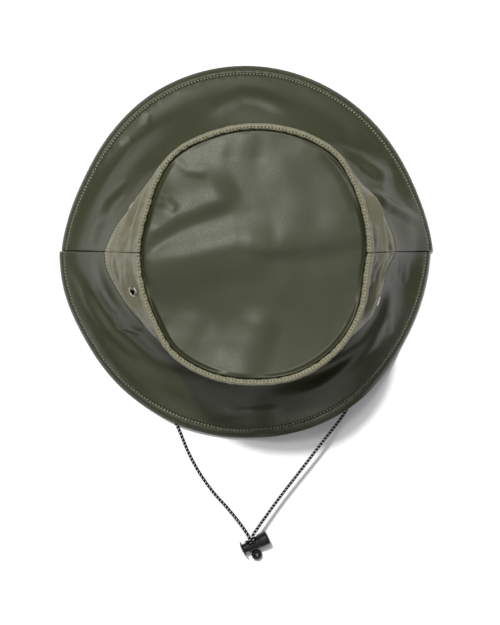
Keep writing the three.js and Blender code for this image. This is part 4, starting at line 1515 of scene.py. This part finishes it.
@dataclass
class CordTab:
    """A folded tab of cloth inside the crown, which the cord hangs from."""

    shape: HatShape
    side: Side
    width: float = 7
    length: float = 13
    thickness: float = 2
    clearance: float = 0.6

    def place(self, x: Array, y: Array, depth: Array) -> Array:
        """A point of the tab, in metres.

        Args:
            x: Shares across the tab.
            y: Shares up the tab.
            depth: Shares of its thickness, from the band inwards.

        Returns:
            Points on the inside of the side band.
        """
        seam = 180.0 if self.side is Side.LEFT else 0.0
        turn = np.degrees((x - 0.5) * self.width / self.shape.base_half_width)
        points = np.zeros((len(x), 3))
        for half in (BACK, FRONT):
            back = (turn >= 0) if self.side is Side.RIGHT else (turn <= 0)
            mine = back if half is BACK else ~back
            deg = seam + turn[mine] + (360 if seam == 0 and half is FRONT else 0)
            up = (y[mine] - 0.55) * self.length / self.shape.band_length(deg, half)
            zero = np.zeros_like(deg)
            point = self.shape.band_point(deg, up, zero, zero, half)
            climb = self.shape.band_point(deg, up + 0.01, zero, zero, half) - point
            normal = unit(np.cross(np.cross(outward(deg), np.array([0, 0, -1.0])), climb))
            normal *= np.sign((normal * outward(deg)).sum(axis=1, keepdims=True))
            inward = self.shape.wall + self.clearance + self.thickness * depth[mine]
            points[mine] = point - normal * inward[:, None]
        return points * MM

    def build(self, cloth: bpy.types.Material) -> None:
        """Makes the tab from a bevelled block."""
        bm = bmesh.new()
        bmesh.ops.create_cube(bm, size=1.0)
        size = Matrix.Diagonal((self.width, self.length, self.thickness, 1))
        bmesh.ops.transform(bm, matrix=size, verts=bm.verts)
        bmesh.ops.bevel(
            bm, geom=[*bm.verts, *bm.edges], offset=0.55, offset_type="OFFSET",
            affect="EDGES", segments=3, profile=0.5, material=-1,
        )  # fmt: skip
        bmesh.ops.subdivide_edges(bm, edges=bm.edges, cuts=3, use_grid_fill=True)
        name = f"cord_tab_{self.side.value}_cloth"
        mesh = finish_mesh(bm, name)
        flat = read_points(mesh)
        x = flat[:, 0] / self.width + 0.5
        y = flat[:, 1] / self.length + 0.5
        write_points(mesh, self.place(x, y, 0.5 - flat[:, 2] / self.thickness))
        merge_seam(mesh)
        piece = link(name, mesh, cloth)
        carry(piece, Body.HAT, "tab_cloth", f"cord_tab_{self.side.value}")


LEFT_ROUTE = (
    (-101.7, -1.9, 39.8), (-102.5, -2.2, 37.2), (-102.6, -3.0, 34.2), (-101.9, -5.2, 29.2),
    (-100.3, -9.6, 22.4), (-97.8, -17, 14.5), (-94.3, -27.5, 7.4), (-90, -40, 3.2),
    (-84.5, -55, 1.4), (-77.5, -74, 1.15), (-69, -94.5, 1.15), (-60.5, -112, 1.15),
    (-51.1, -129.6, 1.15), (-42.7, -149.5, 1.15), (-34.3, -164.8, 1.15), (-24.3, -178.7, 1.15),
    (-17.5, -186.2, 1.7), (-12.5, -191.6, 3.3), (-7.2, -197.7, 6.2), (-3.3, -202.6, 8.9),
    (-0.5, -206.6, 10.7), (1.8, -210.3, 11.2), (2.86, -214.0, 9.2), (4.15, -216.72, 5.6),
    (4.7, -218.9, 3.05), (4.68, -220.02, 2.2), (4.66, -220.91, 1.8),
)  # fmt: skip
RIGHT_ROUTE = (
    (107.1, -1.9, 39.8), (107.7, -2.3, 37.0), (107.5, -3.8, 33.0), (106.6, -7, 28.5),
    (105, -13.5, 24), (102.6, -23, 20), (99.3, -36, 17), (95.3, -51.5, 15), (90.9, -68, 13.9),
    (86.2, -85, 13.4), (80.6, -101, 13.2), (72.7, -118.1, 12.9), (54.5, -142.3, 11.4),
    (39.8, -161.6, 10.2), (25, -180.7, 9.9), (11.3, -199.5, 10.5), (7.7, -204.6, 11.1),
    (4.9, -209.1, 11.2), (5.11, -212.94, 9.2), (6.41, -215.64, 5.6), (6.95, -217.82, 3.05),
    (6.93, -218.94, 2.2), (6.92, -219.84, 1.8),
)  # fmt: skip


@dataclass
class ChinCord:
    """One strand of the elastic chin cord, from its tab through the lock to the bead."""

    side: Side
    route: tuple[tuple[float, float, float], ...]
    diameter: float = 2.2
    steps: int = 420
    sides: int = 14

    def centreline(self, count: int) -> Array:
        """Evenly spaced points on a smooth curve through the route, in millimetres."""
        knots = np.array(self.route)
        knots = np.vstack([2 * knots[0] - knots[1], knots, 2 * knots[-1] - knots[-2]])
        runs = np.sqrt(np.linalg.norm(np.diff(knots, axis=0), axis=1))
        dots = []
        for i in range(1, len(knots) - 2):
            t0, t1, t2 = runs[i - 1], runs[i], runs[i + 1]
            start = (knots[i] - knots[i - 1]) / t0 - (knots[i + 1] - knots[i - 1]) / (t0 + t1)
            start = (start + (knots[i + 1] - knots[i]) / t1) * t1
            end = (knots[i + 1] - knots[i]) / t1 - (knots[i + 2] - knots[i]) / (t1 + t2)
            end = (end + (knots[i + 2] - knots[i + 1]) / t2) * t1
            t = np.linspace(0, 1, 24, endpoint=False)[:, None]
            a = 2 * t**3 - 3 * t**2 + 1
            b = t**3 - 2 * t**2 + t
            c = -2 * t**3 + 3 * t**2
            dots.append(a * knots[i] + b * start + c * knots[i + 1] + (t**3 - t**2) * end)
        line = np.vstack([*dots, knots[-2]])
        run = run_along(line)
        marks = np.linspace(0, run[-1], count)
        return np.stack([np.interp(marks, run, line[:, k]) for k in range(3)], axis=1)

    def build(self, braid: bpy.types.Material) -> bpy.types.Object:
        """Makes the strand as a closed tube with its own map of turns and metres."""
        bm = bmesh.new()
        bmesh.ops.create_grid(bm, x_segments=self.sides, y_segments=self.steps, size=0.5)
        name = f"chin_cord_{self.side.value}"
        mesh = finish_mesh(bm, name, 80)
        flat = read_points(mesh)
        line = self.centreline(self.steps + 1)
        row = np.rint((flat[:, 1] + 0.5) * self.steps).astype(int)
        tangent = unit(np.gradient(line, axis=0))
        across = unit(np.cross(tangent, self.steady(tangent)))
        up = np.cross(across, tangent)
        run = run_along(line)
        radius = self.diameter / 2
        near_end = np.minimum(run, run[-1] - run)
        swell = np.sqrt(np.clip(1 - np.clip(1 - near_end / (0.5 * radius), 0, 1) ** 2, 0, 1))
        turn = 2 * np.pi * (flat[:, 0] + 0.5)
        reach = (radius * swell[row])[:, None]
        ring = across[row] * np.cos(turn)[:, None] + up[row] * np.sin(turn)[:, None]
        write_points(mesh, (line[row] + ring * reach) * MM)
        write_map(mesh, "braid", np.stack([flat[:, 0] + 0.5, run[row] * MM], axis=1))
        merge_seam(mesh)
        piece = link(name, mesh, braid)
        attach(piece, Body.HAT.value)
        nodes = (f"cord_{self.side.value}", f"cord_tail_{self.side.value}")
        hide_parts(*nodes)
        log.info("%s: %.1f mm long", name, run[-1])
        return piece

    def steady(self, tangent: Array) -> Array:
        """Upright vectors that are never along the strand, turned smoothly along it."""
        upright = np.zeros_like(tangent)
        guide = np.array([0.2, 1.0, 0.4])
        for i, way in enumerate(tangent):
            guide = guide - way * (guide @ way)
            guide = guide / np.linalg.norm(guide)
            upright[i] = guide
        return upright

    def declare(self, pieces: Sequence[bpy.types.Object], piece: bpy.types.Object) -> None:
        """Works out the strand's centre line and its first point in metres, and keeps neither."""
        line = self.centreline(self.steps + 1)
        tuple(c * MM for c in self.route[0])  # fmt: skip


@dataclass
class CordLock:
    """The barrel lock and its plunger, with a slot that both strands pass through."""

    place: tuple[float, float, float] = (0.86, -218.3, 5.6)
    turn: float = 25.6
    length: float = 16.7
    radius: float = 5.2
    end_wall: float = 2
    plunger_radius: float = 3.4
    plunger_length: float = 9.8
    neck: float = 3.2
    cap_radius: float = 5.5
    cap_thickness: float = 1.7
    gap: float = 0.3
    slot_place: float = 4.9
    slot_length: float = 7.6
    slot_width: float = 5.6
    slot_tilt: float = 40
    barrel_corner: float = 0.12
    plunger_corner: float = 0.15
    steps: int = 64

    def frame(self) -> Matrix:
        """The lock's own frame, with Z along the barrel from its mouth."""
        spot = Matrix.Translation(Vector(self.place) * MM)
        aim = Matrix.Rotation(math.radians(self.turn - 90), 4, "Z")
        return spot @ aim @ Matrix.Rotation(-math.pi / 2, 4, "X")

    def cutter(self, start: float, end: float, width: float) -> bpy.types.Object:
        """A long block with round ends, leaning towards the hat.

        Args:
            start: The slot's start, from the mouth, in millimetres.
            end: The slot's end.
            width: The slot's width.

        Returns:
            The cutter, as an object.
        """
        bm = bmesh.new()
        bmesh.ops.create_cube(bm, size=1.0)
        size = Matrix.Diagonal((width * MM, (end - start) * MM, 8 * self.radius * MM, 1))
        bmesh.ops.transform(bm, matrix=size, verts=bm.verts)
        upright = [e for e in bm.edges if abs(e.verts[0].co.z - e.verts[1].co.z) > 1e-4]
        bmesh.ops.bevel(
            bm, geom=upright, offset=0.495 * width * MM, offset_type="OFFSET",
            affect="EDGES", segments=8, profile=0.5, material=-1,
        )  # fmt: skip
        middle = Matrix.Translation((0, 0.5 * (start + end) * MM, 0))
        lean = Matrix.Rotation(math.radians(-self.slot_tilt), 4, "Y")
        spot = Matrix.Translation(Vector(self.place) * MM)
        aim = Matrix.Rotation(math.radians(self.turn - 90), 4, "Z")
        bmesh.ops.transform(bm, matrix=spot @ aim @ lean @ middle, verts=bm.verts)
        mesh = finish_mesh(bm, "slot_cutter")
        piece = bpy.data.objects.new("slot_cutter", mesh)
        bpy.context.scene.collection.objects.link(piece)
        return piece

    def build(self, plastic: bpy.types.Material) -> list[bpy.types.Object]:
        """Makes the barrel and the plunger."""
        bore = self.plunger_radius + self.gap
        floor = self.length - self.end_wall
        rim = 0.5 * (self.radius + bore)
        middle = self.slot_place + self.slot_length / 2
        outline = [
            (bore, 0), (rim + 0.25, 0), (rim + 0.25, 0.9), (rim, 1.2), (rim + 0.15, middle),
            (self.radius - 0.1, middle + 1.6), (self.radius, self.length - 1.4),
            (self.radius - 0.2, self.length - 0.5), (self.radius - 0.8, self.length),
            (0, self.length), (0, floor), (bore, floor), (bore, 0),
        ]  # fmt: skip
        start = self.slot_place - self.slot_length / 2
        barrel = spun(
            "lock_barrel_shell", outline, self.steps, self.frame(), plastic, self.barrel_corner,
            self.cutter(start, start + self.slot_length, self.slot_width),
        )  # fmt: skip
        cap = -self.neck - self.cap_thickness
        outline = [
            (0, cap), (0.35 * self.cap_radius, cap + 0.06 * self.cap_thickness),
            (0.7 * self.cap_radius, cap + 0.26 * self.cap_thickness),
            (0.9 * self.cap_radius, cap + 0.5 * self.cap_thickness),
            (self.cap_radius, cap + 0.84 * self.cap_thickness),
            (0.96 * self.cap_radius, -self.neck), (self.plunger_radius, -self.neck),
            (self.plunger_radius, self.plunger_length - 0.6),
            (self.plunger_radius - 0.6, self.plunger_length), (0, self.plunger_length),
        ]  # fmt: skip
        plunger = spun(
            "lock_plunger_button", outline, self.steps, self.frame(), plastic,
            self.plunger_corner, self.cutter(-0.6, 7.6, 4.6),
        )  # fmt: skip
        carry(barrel, Body.HAT, "lock_plastic", "lock_barrel")
        carry(plunger, Body.PLUNGER, "lock_plastic", "lock_plunger")
        for piece in (barrel, plunger):
            piece.data.set_sharp_from_angle(angle=math.radians(38))
        return [barrel, plunger]


@dataclass
class CordBead:
    """The bead that holds the ends of both strands."""

    place: tuple[float, float, float] = (7.6, -224.27, 2.2)
    radius: float = 3.9
    bore: float = 1.0
    height: float = 4.2
    points: int = 22

    def build(self, plastic: bpy.types.Material) -> bpy.types.Object:
        """Makes the bead."""
        middle = 0.5 * (self.radius + self.bore)
        thick = 0.5 * (self.radius - self.bore)
        outline = []
        for i in range(self.points):
            turn = 2 * math.pi * i / self.points
            reach = middle + thick * math.cos(turn)
            outline.append((reach, 0.5 * self.height * math.sin(turn)))
        spot = Matrix.Translation(Vector(self.place) * MM)
        piece = spun("cord_end_bead", outline, 48, spot, plastic)
        carry(piece, Body.HAT, "bead_plastic", "cord_end")
        return piece


@dataclass
class Studio:
    """The pale floor, the soft light from the back left and the camera above."""

    floor_size: float = 6.0
    key_strength: float = 3.4
    key_softness: float = 3.5
    key_towards: tuple[float, float, float] = (0.225, -0.470, -0.853)
    softbox_power: float = 16.5
    softbox_size: tuple[float, float] = (0.9, 0.6)
    softbox_place: tuple[float, float, float] = (-0.4, 0.69, 2.08)
    ambient: float = 1.0
    camera_place: tuple[float, float, float] = (0.0026, -0.0455, 1.5)
    view_height: float = 0.4625

    def camera(self) -> None:
        """Sets the camera straight above."""
        data = bpy.data.cameras.new("camera")
        data.sensor_fit = "VERTICAL"
        data.sensor_height = 24.0
        data.lens = 12.0 * self.camera_place[2] / (self.view_height / 2)
        eye = put("camera", data)
        eye.location = self.camera_place
        bpy.context.scene.camera = eye

    def lights(self) -> None:
        """Sets the key light and the world."""
        data = bpy.data.lights.new("key", "SUN")
        data.energy = self.key_strength
        data.angle = math.radians(self.key_softness)
        key = bpy.data.objects.new("key", data)
        key.rotation_euler = Vector(self.key_towards).to_track_quat("-Z", "Y").to_euler()
        key.location = (-0.5, 1.0, 2.0)
        key.visible_glossy = False
        bpy.context.scene.collection.objects.link(key)
        data = bpy.data.lights.new("softbox", "AREA")
        data.shape = "RECTANGLE"
        data.size, data.size_y = self.softbox_size
        data.energy = self.softbox_power
        softbox = bpy.data.objects.new("softbox", data)
        softbox.location = self.softbox_place
        aim = Vector((0.0, 0.0, 0.08)) - softbox.location
        softbox.rotation_euler = aim.to_track_quat("-Z", "Y").to_euler()
        bpy.context.scene.collection.objects.link(softbox)
        world = bpy.data.worlds.new("studio")
        world.use_nodes = True
        bpy.context.scene.world = world
        board = Board(world.node_tree)
        way = board.node("ShaderNodeTexCoord", {}, {}, "Generated")
        climb = board.node("ShaderNodeSeparateXYZ", {}, {0: way}, "Z")
        across = board.node("ShaderNodeSeparateXYZ", {}, {0: way}, "X")
        bright = climb.step(0.3, 0.95) * (1 - abs(across).step(0.2, 0.75) * 0.4)
        tone = board.mix(bright, (0.1, 0.1, 0.11, 1), (0.96, 0.97, 0.98, 1))
        seen = board.node("ShaderNodeLightPath", {}, {}, "Is Camera Ray")
        tone = board.mix(seen, tone, (1.6, 1.6, 1.6, 1))
        back = board.node(
            "ShaderNodeBackground", {}, {"Color": tone, "Strength": self.ambient}, 0
        )  # fmt: skip
        board.node("ShaderNodeOutputWorld", {}, {"Surface": back})
        bpy.context.scene.view_settings.view_transform = "Standard"

    def floor(self) -> None:
        """Makes the floor."""
        bm = bmesh.new()
        bmesh.ops.create_grid(bm, x_segments=8, y_segments=8, size=self.floor_size / 2)
        mesh = finish_mesh(bm, "floor")
        piece = link("floor", mesh, PaleFloor("pale_floor").make())
        piece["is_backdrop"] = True


def note_sizes(packed: Sequence[Vector]) -> None:
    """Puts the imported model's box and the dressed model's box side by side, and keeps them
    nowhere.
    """
    boxes = {
        "cad": [list(corner) for corner in packed],
        "visual": [list(corner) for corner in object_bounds()],
    }


def main() -> None:
    """Builds the scene in order."""
    logging.basicConfig(level=logging.INFO, format="%(message)s")
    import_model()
    packed = [corner.copy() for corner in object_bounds()]
    studio = Studio()
    studio.camera()
    braid = BraidedCord("braided_cord").make()
    strands = [ChinCord(Side.LEFT, LEFT_ROUTE), ChinCord(Side.RIGHT, RIGHT_ROUTE)]
    cords = [strand.build(braid) for strand in strands]
    plastic = MouldedPlastic("lock_plastic", (0.006, 0.006, 0.0065, 1.0), 0.34).make()
    ends = CordLock().build(plastic)
    glossy = MouldedPlastic("bead_plastic", (0.005, 0.005, 0.005, 1.0), 0.24).make()
    ends.append(CordBead().build(glossy))
    strands[0].declare(ends, cords[0])
    strands[1].declare(ends, cords[1])
    shape = HatShape()
    olive = CoatedCloth("crown_and_brim_cloth", (0.0235, 0.0262, 0.0118, 1.0)).make()
    # The side band's cloth has a painted sheen beside its stitch rows and lighter painted shade in
    # its needle holes.
    pale = CoatedCloth("side_band_cloth", (0.1, 0.096, 0.06, 1.0), hole=0.5, painted_sheen=0.4).make()
    plain = CoatedCloth("tab_cloth", (0.04, 0.042, 0.024, 1.0), stitched=False).make()
    thread = Thread("sewing_thread", (0.32, 0.32, 0.21, 1.0)).make()
    CrownTop(shape).build(olive)
    for half in (BACK, FRONT):
        SideBand(shape, half).build(pale, thread)
        Brim(shape, half).build(olive, thread)
    Eyelets(shape).build(EyeletMetal("eyelet_metal").make())
    for side in Side:
        CordTab(shape, side).build(plain)
    studio.lights()
    studio.floor()
    note_sizes(packed)


if __name__ == "__main__":
    main()
